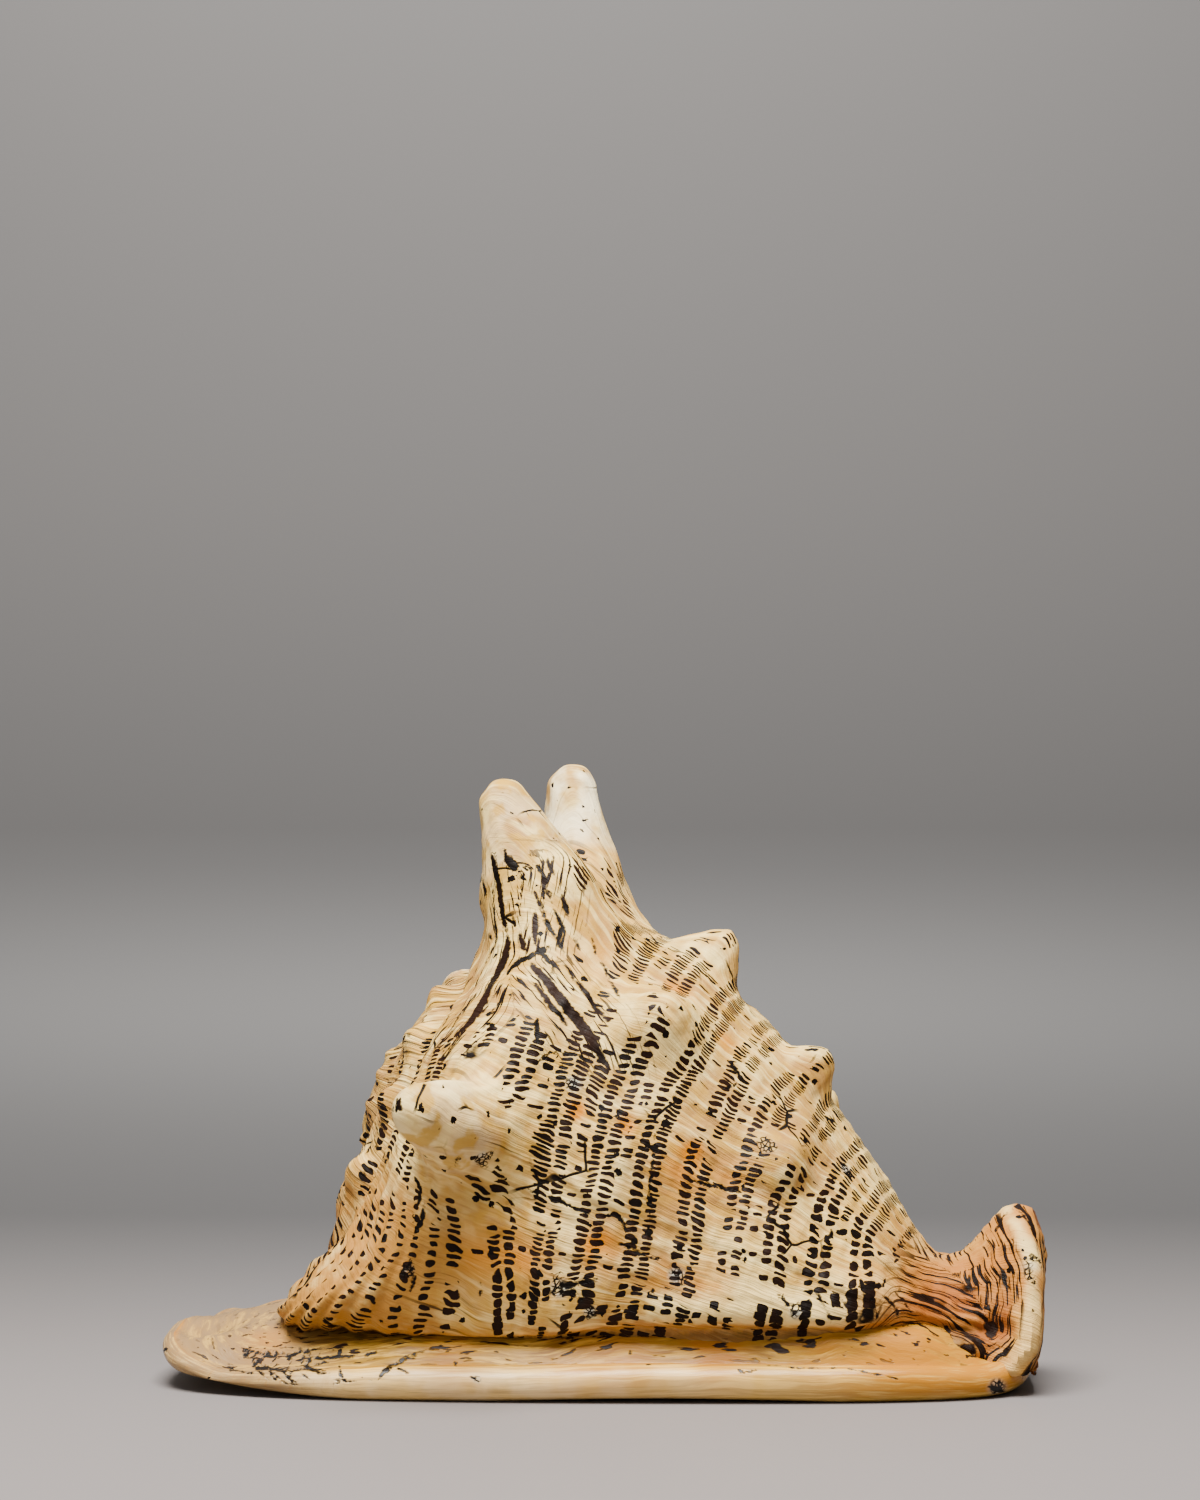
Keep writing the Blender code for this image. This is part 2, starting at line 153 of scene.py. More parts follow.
def spline(knots, values, u):
    """Natural cubic through the rows of values at the knots, read at every u."""
    count = len(knots)
    gap = np.diff(knots)
    slope = np.diff(values, axis=0) / gap[:, None]
    matrix = np.zeros((count, count))
    right = np.zeros((count, values.shape[1]))
    matrix[0, 0] = matrix[-1, -1] = 1
    inner = np.arange(1, count - 1)
    matrix[inner, inner - 1] = gap[:-1]
    matrix[inner, inner] = 2 * (gap[:-1] + gap[1:])
    matrix[inner, inner + 1] = gap[1:]
    right[1:-1] = 6 * np.diff(slope, axis=0)
    bend = np.linalg.solve(matrix, right)
    k = np.clip(np.searchsorted(knots, u, side="right") - 1, 0, count - 2)
    t = (u - knots[k])[:, None]
    step = gap[k][:, None]
    first = slope[k] - step * (2 * bend[k] + bend[k + 1]) / 6
    third = (bend[k + 1] - bend[k]) / (6 * step)
    return values[k] + first * t + bend[k] / 2 * t**2 + third * t**3


def whorl(s, turn):
    """Points of the plain whorl, s along the back's profile and turn round the axis from the back.

    The radius is that of a superellipse whose half-widths are the stations' radii. The suture moves
    the wall along the axis, the fin leans the end, and the skirt spreads what is low.
    """
    along, back, lip, far, belly = spline(PROFILE, STATIONS, s.ravel()).T
    c, d = np.cos(turn.ravel()), np.sin(turn.ravel())
    up = np.maximum(np.where(c > 0, back, belly), 1e-6)
    side = np.maximum(np.where(d > 0, lip, far), 1e-6)
    power = np.where(c > 0, ROUND, np.where(d > 0, LIP_SIDE_CORNER, FAR_SIDE_CORNER))
    radius = (np.abs(c / up) ** power + np.abs(d / side) ** power) ** (-1 / power)
    drift = RIDGE_DRIFT * d
    for place, width, height in RIDGES:
        radius = radius + height * MM * hump((s.ravel() - place * MM - drift) / (width * MM))
    round_axis = np.arctan2(d, c) / (2 * pi)
    for wind in (-1, 0, 1):
        suture = SUTURE_OUT + SUTURE_PITCH * (round_axis - SPIRE_START / 360 - wind)
        depth = SUTURE_DEPTH * smooth((SUTURE_END - suture) / SUTURE_FADE)
        along = along + depth * hump((s.ravel() - suture) / SUTURE_WIDTH)
    fin = smooth((along - FIN_START) / FIN_BLEND)
    along = along + (FIN_SQUARE * d - FIN_LEAN * c) * radius * fin
    p = APEX + along[:, None] * ALONG + (radius * c)[:, None] * BACK + (radius * d)[:, None] * LIPWARD
    low = smooth((SKIRT_TOP - p[:, 2]) / SKIRT_DEPTH)
    spire_end = smooth(-p[:, 0] / SKIRT_SPREAD)
    lip_side = smooth(-p[:, 1] / SKIRT_FORWARD_BLEND)
    lip_side = lip_side * smooth((SKIRT_FORWARD_START - p[:, 0]) / SKIRT_FORWARD_BLEND)
    p[:, 0] -= SKIRT_OUT * low**SKIRT_POWER * spire_end
    p[:, 1] -= SKIRT_FORWARD * low * lip_side
    p[:, 2] = BELLY_HEIGHT + BELLY_SOFTNESS * np.log1p(np.exp((p[:, 2] - BELLY_HEIGHT) / BELLY_SOFTNESS))
    return p.reshape(s.shape + (3,))


def seat(s, turn):
    """A point of the plain whorl and its outward normal, for one place s and turn."""
    h = 1e-3
    places = np.array([s, s + h, s - h, s, s])
    turns = np.array([turn, turn, turn, turn + 0.02, turn - 0.02])
    p = whorl(places, turns)
    normal = np.cross(p[1] - p[2], p[3] - p[4])
    normal /= np.linalg.norm(normal)
    outward = p[0] - (APEX + 0.05 * ALONG)
    return p[0], normal * np.sign(normal @ outward)


def draw_horn(p, s, turn, tip, tip_radius, foot_radius, half_angle):
    """Draw the whorl out into a thick finger: a round cap, a cone of the half-angle and a flared foot.

    q is the distance from the middle of the foot as a share of its radius. Its first part makes the
    cap. Down the rest, x from 0 to 1, the height falls as 1 - (1 - x)^2, and the width follows a
    cubic that leaves the cap along the cone and meets the foot's rim. From HORN_BLEND on, the
    finger melts into the plain whorl.
    """
    foot, _ = seat(s, turn)
    rel = p - foot
    axis = tip - foot
    length = np.linalg.norm(axis) + tip_radius
    axis = axis / np.linalg.norm(axis)
    height = rel @ axis
    lateral = rel - height[..., None] * axis
    lateral_length = np.maximum(np.linalg.norm(lateral, axis=-1), 1e-9)
    distance = np.maximum(np.linalg.norm(rel, axis=-1), 1e-9)
    q = np.clip(distance / foot_radius, 0, 1)
    cap = (pi / 2 - half_angle) * np.clip(q / HORN_CAP, 0, 1)
    x = np.clip((q - HORN_CAP) / (1 - HORN_CAP), 0, 1)
    cap_width = tip_radius * cos(half_angle)
    cap_depth = tip_radius * (1 - sin(half_angle))
    start = 2 * np.tan(half_angle) * (length - cap_depth) / (foot_radius - cap_width)
    spread = start * (x**3 - 2 * x**2 + x) + 3 * x**2 - 2 * x**3 + HORN_FOOT_SLOPE * (x**3 - x**2)
    out = tip_radius * np.sin(cap) + (foot_radius - cap_width) * spread
    fall = tip_radius * (1 - np.cos(cap)) + (length - cap_depth) * (1 - (1 - x) ** 2)
    out = out * (1 + (lateral_length / distance - 1) * smooth(x))
    blend = smooth((q - HORN_BLEND) / (1 - HORN_BLEND))
    out = out * (1 - blend) + lateral_length * blend
    rise = length - fall + height * smooth(q)
    drawn = foot + axis * rise[..., None] + lateral * (out / lateral_length)[..., None]
    return np.where((q < 1)[..., None], drawn, p)


def draw_knob(p, s, turn, height, radius):
    """Raise a low rounded knob: height times (1 - q^2)^2.5 along the whorl's normal."""
    foot, normal = seat(s, turn)
    q = np.clip(np.linalg.norm(p - foot, axis=-1) / radius, 0, 1)
    return p + normal * (height * (1 - q * q) ** 2.5)[..., None]


def horned_whorl(s, turn):
    """Points of the whorl with its horns, its two rows of knobs and the small knobs of the spire."""
    p = whorl(s, turn)
    for place, angle, tip, tip_radius, foot_radius, half_angle in HORNS:
        finger = (np.array(tip) * MM, tip_radius * MM, foot_radius * MM, radians(half_angle))
        p = draw_horn(p, place * MM, radians(angle), *finger)
    for place, angle, height, radius in KNOBS:
        p = draw_knob(p, place * MM, radians(angle), height * MM, radius * MM)
    for i in range(SPIRE_KNOBS):
        place = (SPIRE_OUT - SPIRE_STEP * i) * MM
        shrink = 1 - SPIRE_SHRINK * i
        angle = radians(SPIRE_START - SPIRE_TURN * i)
        p = draw_knob(p, place, angle, SPIRE_HEIGHT * shrink * MM, SPIRE_RADIUS * shrink * MM)
    return p


def grid_normals(p):
    """Unit normals of a grid of points that closes round its columns: cross product of differences."""
    down = np.gradient(p, axis=0)
    across = np.roll(p, -1, axis=1) - np.roll(p, 1, axis=1)
    normal = np.cross(across, down)
    normal /= np.maximum(np.linalg.norm(normal, axis=-1), 1e-12)[..., None]
    return normal


def lumps(p, size, seed):
    """Smooth random values in -1 to 1 at points p: corner values of a lattice of the size, blended."""
    rng = np.random.default_rng(seed)
    table = rng.uniform(-1, 1, (64, 64, 64))
    place = p / size + 1000
    cell = np.floor(place).astype(int)
    t = smooth(place - cell)
    total = 0
    for corner in range(8):
        step = np.array([corner & 1, corner >> 1 & 1, corner >> 2])
        index = (cell + step) % 64
        share = np.prod(np.where(step == 1, t, 1 - t), axis=-1)
        total = total + share * table[index[..., 0], index[..., 1], index[..., 2]]
    return total


# Swellings and hollows that only this shell has: centre, radius and height, in mm
SWELLS = [
    ((-4, 14, 156), 13, 4.5),
    ((-27, -93, 79), 10, 3.5),
    ((-77, -12, 71), 7, -4.5),
    ((-75, -22, 56), 12, 4.0),
    ((-40, -30, 118), 14, -2.5),
    ((84, -72, 26), 18, 1.2),
    ((-41, -14, 149), 6, 4.5),
    ((-10, -26, 154), 8, 3.0),
    ((-2, -33, 140), 9, 1.5),
    ((18, -61, 117), 8, 3.0),
    ((8, -62, 110), 5, 2.5),
    ((62, -50, 79), 7, 2.0),
    ((-30, -13, 185), 6, 2.2),
    ((-9, 41, 190), 6, 1.5),
]

# Pauses in growth, low ledges along the shell: turn in degrees, height in mm, and where they run in s
LEDGES = [
    (52, 0.35, 100, 200),
    (63, 0.5, 120, 260),
    (73, 0.45, 105, 190),
    (82, 0.8, 112, 240),
    (90, 0.5, 100, 170),
    (97, 0.7, 125, 262),
    (-30, 0.5, 100, 230),
    (-62, 0.7, 100, 240),
    (-95, 0.7, 100, 250),
    (10, 0.4, 110, 220),
]
LEDGE_LENGTH = 62 * MM

# Soft lumps of the surface: height and size in mm, and the seed of each
SOFT_LUMPS = [(0.75, 21, 1), (0.50, 9.5, 2), (0.22, 4.2, 3)]

# The last band over the lip, the crevice under it, and the fin's folds, rim and bowl, in mm
BAND_HEIGHT = 27.5
BAND_SWELL = 1.7
CREVICE_HEIGHT = 15.5
CREVICE_CLIMB = 4.5
CREVICE_WIDTH = 2.4
CREVICE_DEPTH = 3.0
FOLD_SPACING = 3.6
RIM_SWELL = 1.8
BOWL_DEPTH = 2.6
BOWL_PLACE = 14

# The cords and the columns of dashes, which stand more upright on the skirt
CORD_SPACING = 5.2 * MM
SKIRT_LEAN = 0.09
SKIRT_LEAN_TOP = 60.0
FOOT_SAG = 4 * MM

# Where the fin's raised rim runs, down its front and along the lip, in mm
FIN_RIM = [(122, -17, 55), (126, -29, 53), (129, -51, 48), (132, -60, 38), (132, -65, 28), (130, -68, 16),
           (125, -67, 9), (116, -72, 10), (108, -66, 14), (100, -61, 16), (91, -66, 19)]


def path_place(p, path):
    """Distance from points to a path and how far along it the nearest place lies, both in mm."""
    path = np.array(path) * MM
    nearest = np.full(p.shape[:-1], 1.0)
    along = np.zeros(p.shape[:-1])
    covered = 0
    for start, stop in zip(path[:-1], path[1:]):
        run = stop - start
        length = np.linalg.norm(run)
        t = np.clip(np.sum((p - start) * run, axis=-1) / (run @ run), 0, 1)
        gap = np.linalg.norm(p - start - t[..., None] * run, axis=-1)
        along = np.where(gap < nearest, covered + t * length, along)
        nearest = np.minimum(nearest, gap)
        covered += length
    return nearest / MM, along / MM


def growth_relief(p, s, turn):
    """Heights of the growth relief in metres, at points p of the horned whorl.

    It adds soft lumps, low spiral cords, the ledges of growth pauses with a gentle side and a steep
    one, a thick last band over the lip, a crevice under it, and the fin's folds and rim.
    """
    x, y, z = p[..., 0], p[..., 1], p[..., 2]
    height = sum(rise * lumps(p, size * MM, seed) for rise, size, seed in SOFT_LUMPS)
    fan = smooth((-x - 0.045) / 0.03) * smooth((0.075 - z) / 0.03)
    fall = np.minimum(z / MM - SKIRT_LEAN_TOP, 0) * smooth((-x - 0.008) / 0.027)
    wave = 2 * pi * (s / CORD_SPACING + SKIRT_LEAN * fall + 0.25 * lumps(p, 0.03, 4))
    height += (0.13 + 0.55 * fan) * np.cos(wave)
    drawn_out = np.stack([s * 0.22, turn * 0.016, 0 * s], -1)
    height += 0.40 * lumps(drawn_out, 0.0016, 9) * smooth((s - 0.05) / 0.02)
    wobble = 0.10 * lumps(p, 0.024, 5) + 0.03 * lumps(p, 0.009, 6)
    for angle, rise, low, high in LEDGES:
        ahead = (turn - radians(angle) + wobble) * LEDGE_LENGTH
        side = np.where(ahead < 0, hump(ahead / 0.007), hump(ahead / 0.0013))
        run = smooth((s - low * MM) / 0.012) * smooth((high * MM - s) / 0.012)
        height += 1.5 * rise * side * run * (0.75 + 0.6 * lumps(p, 0.012, 7))
    lip_side = smooth((-y - 0.03) / 0.03)
    band = hump((z - BAND_HEIGHT * MM) / 0.005) * smooth((x - 0.002) / 0.03) * smooth((0.118 - x) / 0.02)
    height += BAND_SWELL * band * lip_side
    crevice_height = CREVICE_HEIGHT + CREVICE_CLIMB * smooth((x + 0.020) / 0.03)
    crevice = hump((z / MM - crevice_height) / CREVICE_WIDTH)
    crevice = crevice * smooth((x + 0.095) / 0.02) * smooth((0.13 - x) / 0.02)
    height -= CREVICE_DEPTH * crevice * lip_side
    fin = smooth((s - 0.232) / 0.02)
    rim_gap, _ = path_place(p, FIN_RIM)
    height += 0.35 * fin * lip_side * np.cos(2 * pi * (rim_gap / FOLD_SPACING + 0.6 * lumps(p, 0.016, 8)))
    bowl = smooth((s - 0.236) / 0.02) * lip_side
    height += bowl * (RIM_SWELL * hump(rim_gap / 4.0) - BOWL_DEPTH * hump((rim_gap - BOWL_PLACE) / 8.0))
    return height * MM


def closed_faces(rows, columns):
    """Quads of a grid closed round its columns, with a pole before and after its rows, as triples."""
    r, c = np.meshgrid(np.arange(rows - 1), np.arange(columns), indexing="ij")
    d = (c + 1) % columns
    a = 1 + r * columns
    quads = np.stack([a + c, a + columns + c, a + columns + d, a + d], -1).reshape(-1, 4)
    around = np.arange(columns)
    after = (around + 1) % columns
    last = 1 + (rows - 1) * columns
    first_fan = np.stack([np.zeros(columns, int), 1 + around, 1 + after], -1)
    last_fan = np.stack([last + around, np.full(columns, last + columns), last + after], -1)
    return quads.tolist() + first_fan.tolist() + last_fan.tolist()


def closed_piece(name, grid, poles, material, maps, period=1.0):
    """Mesh object of a grid with two poles and faces outwards.

    Each named map holds a pair of values per grid point, and becomes a UV map. The growth map's
    second value runs through its period round the columns, so faces that cross its seam are carried
    past the end.
    """
    rows, columns = grid.shape[:2]
    points = np.concatenate([poles[:1], grid.reshape(-1, 3), poles[1:]]) + STANCE
    mesh = bpy.data.meshes.new(name)
    mesh.from_pydata(points.tolist(), [], closed_faces(rows, columns))
    corner = np.zeros(len(mesh.loops), int)
    mesh.loops.foreach_get("vertex_index", corner)
    face_start = np.zeros(len(mesh.polygons), int)
    face_total = np.zeros(len(mesh.polygons), int)
    mesh.polygons.foreach_get("loop_start", face_start)
    mesh.polygons.foreach_get("loop_total", face_total)
    for title, pairs in maps.items():
        values = np.concatenate([pairs[0, :1], pairs.reshape(-1, 2), pairs[-1, :1]])[corner]
        if title == "growth":
            highest = np.repeat(np.maximum.reduceat(values[:, 1], face_start), face_total)
            behind = highest - values[:, 1] > period / 2
            values[:, 1] = np.where(behind, values[:, 1] + period, values[:, 1])
        mesh.uv_layers.new(name=title).data.foreach_set("uv", values.ravel())
    mesh.materials.append(material)
    work = bmesh.new()
    work.from_mesh(mesh)
    bmesh.ops.recalc_face_normals(work, faces=work.faces)
    work.to_mesh(mesh)
    work.free()
    item = bpy.data.objects.new(name, mesh)
    bpy.context.scene.collection.objects.link(item)
    return item


# Marks that only this shell has, as places in mm. Stripes and cracks: half width, then their points
STRIPES = [
    (1.1, [(-34, -24, 164), (-34, -25, 160), (-32, -29, 155), (-31, -31, 149), (-30, -34, 142),
           (-29, -39, 136)]),
    (1.9, [(-31, -33, 145), (-29, -39, 136), (-30, -42, 130), (-34, -47, 124), (-36, -52, 119),
           (-38, -54, 116), (-41, -56, 112), (-45, -55, 108)]),
    (1.3, [(-34, -24, 163), (-33, -26, 159), (-32, -28, 156)]),
    (0.5, [(-34, -25, 155), (-33, -28, 149), (-33, -30, 143), (-32, -33, 137), (-34, -32, 132),
           (-36, -32, 128), (-38, -33, 124), (-40, -39, 120), (-43, -42, 116)]),
    (0.35, [(-38, -26, 128), (-41, -25, 124), (-44, -23, 119), (-47, -35, 115), (-49, -41, 109),
            (-51, -45, 105)]),
    (0.35, [(-36, -41, 125), (-39, -43, 120), (-43, -45, 115), (-46, -49, 110), (-49, -51, 105)]),
    (0.45, [(-30, -52, 124), (-34, -55, 119), (-37, -56, 114), (-42, -57, 110), (-47, -56, 104),
            (-50, -56, 100)]),
    (0.4, [(-27, -51, 127), (-28, -55, 124), (-30, -57, 120), (-33, -58, 116)]),
    (1.7, [(-22, -49, 131), (-19, -52, 128), (-16, -55, 125), (-13, -57, 121), (-10, -59, 117),
           (-7, -60, 114), (-4, -62, 110), (-2, -63, 107), (0, -64, 103), (3, -66, 99)]),
    (0.8, [(-20, -55, 125), (-17, -58, 121), (-15, -60, 118), (-12, -61, 115), (-10, -62, 112)]),
    (0.7, [(-13, -47, 132), (-10, -49, 129), (-8, -51, 125), (-5, -53, 123), (-3, -55, 120), (-1, -57, 117),
           (2, -59, 114), (5, -60, 112), (7, -61, 112), (9, -61, 114)]),
    (0.6, [(-18, -38, 148), (-17, -40, 144), (-15, -42, 140), (-13, -43, 137), (-11, -46, 133)]),
    (0.45, [(-15, -38, 148), (-13, -39, 144), (-11, -41, 140), (-11, -42, 138)]),
    (0.8, [(-12, -36, 151), (-11, -37, 149), (-10, -38, 144)]),
    (0.7, [(-17, -36, 153), (-15, -37, 150)]),
    (0.5, [(-21, -36, 153), (-19, -37, 149), (-18, -39, 146)]),
    (0.6, [(-17, -30, 163), (-16, -32, 160), (-14, -34, 157)]),
    (0.9, [(-20, -38, 146), (-20, -40, 143), (-20, -45, 136)]),
    (0.8, [(-25, -40, 139), (-24, -43, 136), (-23, -45, 134)]),
    (0.6, [(-27, -35, 144), (-26, -37, 141)]),
    (0.4, [(-3, -38, 139), (-2, -40, 135), (-1, -42, 132)]),
    (0.4, [(-2, -30, 148), (-1, -34, 142)]),
    (0.4, [(0, -42, 131), (2, -45, 128), (4, -49, 124), (6, -54, 120)]),
    (0.35, [(-9, -40, 139), (-7, -42, 136), (-6, -43, 134)]),
    (0.8, [(-37, -20, 154), (-36, -22, 152), (-36, -23, 150)]),
    (0.8, [(-59, -97, 93), (-60, -98, 91), (-58, -100, 89)]),
    (1.2, [(-77, -25, 74), (-76, -30, 70), (-74, -36, 67)]),
    (0.6, [(-72, -33, 72), (-73, -38, 64), (-70, -49, 59)]),
    (0.6, [(-35, -28, 139), (-34, -31, 136)]),
    (0.4, [(65, -75, 33), (68, -77, 28), (70, -76, 22)]),
    (0.6, [(71, -75, 33), (75, -76, 28), (76, -75, 23)]),
    (0.4, [(79, -74, 32), (83, -73, 28), (84, -72, 23)]),
    (0.5, [(85, -71, 32), (89, -69, 28), (91, -68, 23)]),
    (0.4, [(89, -66, 32), (93, -66, 28), (95, -66, 24)]),
    (0.9, [(-86, -63, 23), (-83, -64, 23), (-81, -61, 20), (-76, -57, 19), (-72, -56, 17), (-67, -58, 16)]),
    (0.8, [(127, -39, 53), (123, -43, 50), (121, -45, 47)]),
    (0.9, [(129, -41, 54), (132, -48, 50), (134, -53, 45)]),
    (1.6, [(116, -61, 15), (113, -64, 14), (108, -62, 14), (104, -60, 17), (99, -62, 18)]),
    (2.2, [(117, -61, 22), (119, -61, 20), (119, -62, 17)]),
]

# The line that the streaks between the horns follow
FLOW = [(2, -64, 96), (-2, -63, 107), (-7, -60, 114), (-13, -57, 121), (-22, -49, 131), (-18, -38, 148),
        (-16, -30, 163), (-34, -24, 164), (-31, -31, 149), (-29, -42, 132), (-34, -47, 124),
        (-38, -54, 116), (-45, -55, 108), (-52, -52, 98)]

CRACKS = [
    (0.9, [(-15, -45, 136), (-18, -46, 134), (-22, -47, 132), (-25, -47, 131), (-28, -47, 128),
           (-29, -49, 127)]),
    (0.5, [(-20, -45, 136), (-18, -46, 134), (-16, -49, 131), (-14, -50, 130), (-12, -49, 130)]),
    (1.3, [(-30, -28, 163), (-28, -30, 161), (-25, -31, 158)]),
    (0.8, [(-31, -26, 167), (-30, -28, 165)]),
    (0.6, [(-25, -33, 156), (-22, -34, 155)]),
    (0.5, [(-29, -31, 155), (-27, -32, 155)]),
    (0.5, [(-25, -32, 159), (-22, -32, 159), (-19, -32, 160), (-18, -34, 157)]),
    (0.9, [(-8, -20, 164), (-7, -20, 161)]),
    (0.5, [(-26, -35, 148), (-25, -36, 147)]),
    (0.5, [(-31, -18, 182), (-30, -18, 182)]),
    (0.6, [(-25, -21, 177), (-23, -21, 176)]),
    (0.5, [(-21, -24, 174), (-21, -24, 173)]),
    (0.4, [(-13, -18, 170), (-12, -20, 168)]),
    (0.5, [(-16, 37, 185), (-15, 36, 184)]),
    (0.6, [(-15, 34, 180), (-14, 33, 179)]),
    (0.5, [(-10, 33, 185), (-10, 33, 183)]),
    (0.6, [(-2, 32, 177), (-2, 32, 175)]),
    (0.6, [(-6, 27, 171), (-6, 26, 169)]),
    (0.4, [(-19, -68, 101), (-18, -68, 102), (-15, -66, 104), (-11, -65, 104), (-6, -65, 103),
           (-3, -65, 101)]),
    (0.6, [(-19, -63, 115), (-19, -65, 111), (-19, -67, 107)]),
    (0.7, [(-35, -58, 115), (-32, -59, 116)]),
    (0.5, [(-35, -61, 113), (-32, -63, 112)]),
    (0.6, [(-57, -65, 70), (-54, -69, 63), (-55, -69, 58)]),
    (0.5, [(-53, -70, 59), (-54, -71, 53), (-57, -71, 49)]),
    (0.5, [(-58, -72, 43), (-56, -72, 37), (-57, -71, 32)]),
    (0.35, [(-38, -73, 40), (-36, -73, 36), (-36, -72, 31)]),
    (0.3, [(4, -56, 117), (12, -61, 114), (20, -62, 113)]),
    (0.3, [(17, -71, 81), (16, -73, 72), (15, -74, 63), (15, -74, 55), (14, -75, 50)]),
    (0.4, [(5, -76, 48), (11, -76, 45), (16, -76, 43), (20, -76, 43)]),
    (0.3, [(16, -76, 34), (16, -76, 23)]),
    (0.4, [(27, -71, 66), (35, -70, 64), (43, -69, 62)]),
    (0.5, [(-16, -76, 32), (-11, -76, 35), (-5, -77, 36), (-1, -77, 37)]),
    (0.5, [(-13, -76, 37), (-8, -77, 33), (-5, -76, 30)]),
    (0.4, [(-11, -76, 38), (-12, -76, 34)]),
    (0.9, [(78, -73, 34), (82, -71, 34), (86, -68, 34)]),
    (0.5, [(79, -71, 36), (79, -74, 33)]),
    (0.4, [(87, -65, 36), (86, -68, 34)]),
    (0.4, [(1, -76, 56), (5, -75, 56), (7, -75, 54), (8, -75, 50)]),
    (0.5, [(39, -50, 101), (41, -51, 98), (44, -52, 95)]),
    (0.3, [(37, -58, 92), (40, -56, 93), (42, -54, 94)]),
    (0.4, [(53, -77, 32), (55, -78, 31), (57, -78, 29)]),
    (0.4, [(55, -77, 34), (55, -78, 29)]),
    (0.3, [(-30, -76, 67), (-21, -73, 63), (-12, -74, 60), (-3, -75, 56)]),
    (0.4, [(12, -73, 75), (14, -72, 77), (18, -72, 75)]),
    (0.8, [(-60, -94, 95), (-61, -97, 92), (-60, -99, 87)]),
    (0.5, [(-52, -99, 97), (-50, -100, 96)]),
    (0.6, [(-44, -97, 84), (-41, -95, 83), (-39, -94, 80)]),
    (0.5, [(-36, -92, 88), (-34, -90, 86)]),
    (0.6, [(-50, -96, 79), (-46, -93, 77)]),
    (0.4, [(-31, -88, 76), (-28, -86, 73), (-24, -83, 72)]),
    (0.9, [(132, -62, 35), (132, -62, 33)]),
    (0.5, [(130, -66, 26), (132, -66, 26)]),
]

# Places with brown growth lines: place, radius and strength
STREAKED = [
    ((-48, -70, 28), 13, 0.9),
    ((-20, -76, 52), 10, 0.5),
    ((70, -75, 27), 16, 0.4),
    ((-72, -52, 62), 10, 0.9),
    ((96, -66, 40), 12, 0.8),
    ((-30, -82, 78), 9, 0.8),
    ((-46, -72, 100), 9, 0.7),
    ((-72, -30, 84), 16, 0.8),
]

# Orange stains: place, radius and strength
STAINS = [
    ((8, -72, 83), 3.5, 0.9),
    ((28, -69, 74), 3.5, 1.3),
    ((24, -70, 70), 9, 0.5),
    ((39, -69, 68), 5, 0.5),
    ((39, -45, 105), 4, 0.7),
    ((24, -42, 122), 5, 0.7),
    ((-7, -70, 87), 3, 1.2),
    ((0, -76, 46), 5.5, 1.2),
    ((-38, -72, 45), 8, 0.55),
    ((-24, -73, 43), 9, 0.55),
    ((18, -76, 38), 6, 0.4),
    ((34, -77, 37), 6, 0.6),
    ((80, -72, 34), 8, 0.35),
    ((0, -41, 133), 6, 0.3),
]

# Star-shaped frost of fine black cracks: place and radius
STARS = [
    ((-42, -88, 72), 3),
    ((51, -66, 76), 3.5),
    ((23, -76, 38), 4),
    ((76, -45, 67), 3.5),
    ((59, -78, 27), 3.5),
    ((131, -59, 38), 4),
    ((-12, -76, 34), 4.5),
    ((-3, -76, 27), 3),
    ((-35, -85, 74), 4),
    ((-8, -68, 95), 4),
    ((-58, -72, 39), 3),
    ((-78, -60, 45), 4),
]


def path_gap(p, paths):
    """Distance from points to the nearest path, less its half width, in mm. Paths taper at both ends."""
    nearest = np.full(p.shape[:-1], 60.0)
    for half, path in paths:
        path = np.array(path) * MM
        count = len(path) - 1
        for i in range(count):
            run = path[i + 1] - path[i]
            t = np.clip(np.sum((p - path[i]) * run, axis=-1) / (run @ run), 0, 1)
            gap = np.linalg.norm(p - path[i] - t[..., None] * run, axis=-1) / MM
            taper = np.sin(pi * (i + t) / count) ** 0.5
            nearest = np.minimum(nearest, gap - half * taper)
    return nearest


def spots(p, places):
    """Sum of bells round places in mm, each with a radius and a strength."""
    total = 0
    for centre, radius, strength in places:
        gap = np.linalg.norm(p - np.array(centre) * MM, axis=-1) / (radius * MM)
        total = total + strength * hump(gap)
    return total


def star_gap(p, places):
    """Distance to the nearest star as a share of its radius, held at 3."""
    nearest = np.full(p.shape[:-1], 3.0)
    for centre, radius in places:
        gap = np.linalg.norm(p - np.array(centre) * MM, axis=-1) / (radius * MM)
        nearest = np.minimum(nearest, gap)
    return nearest


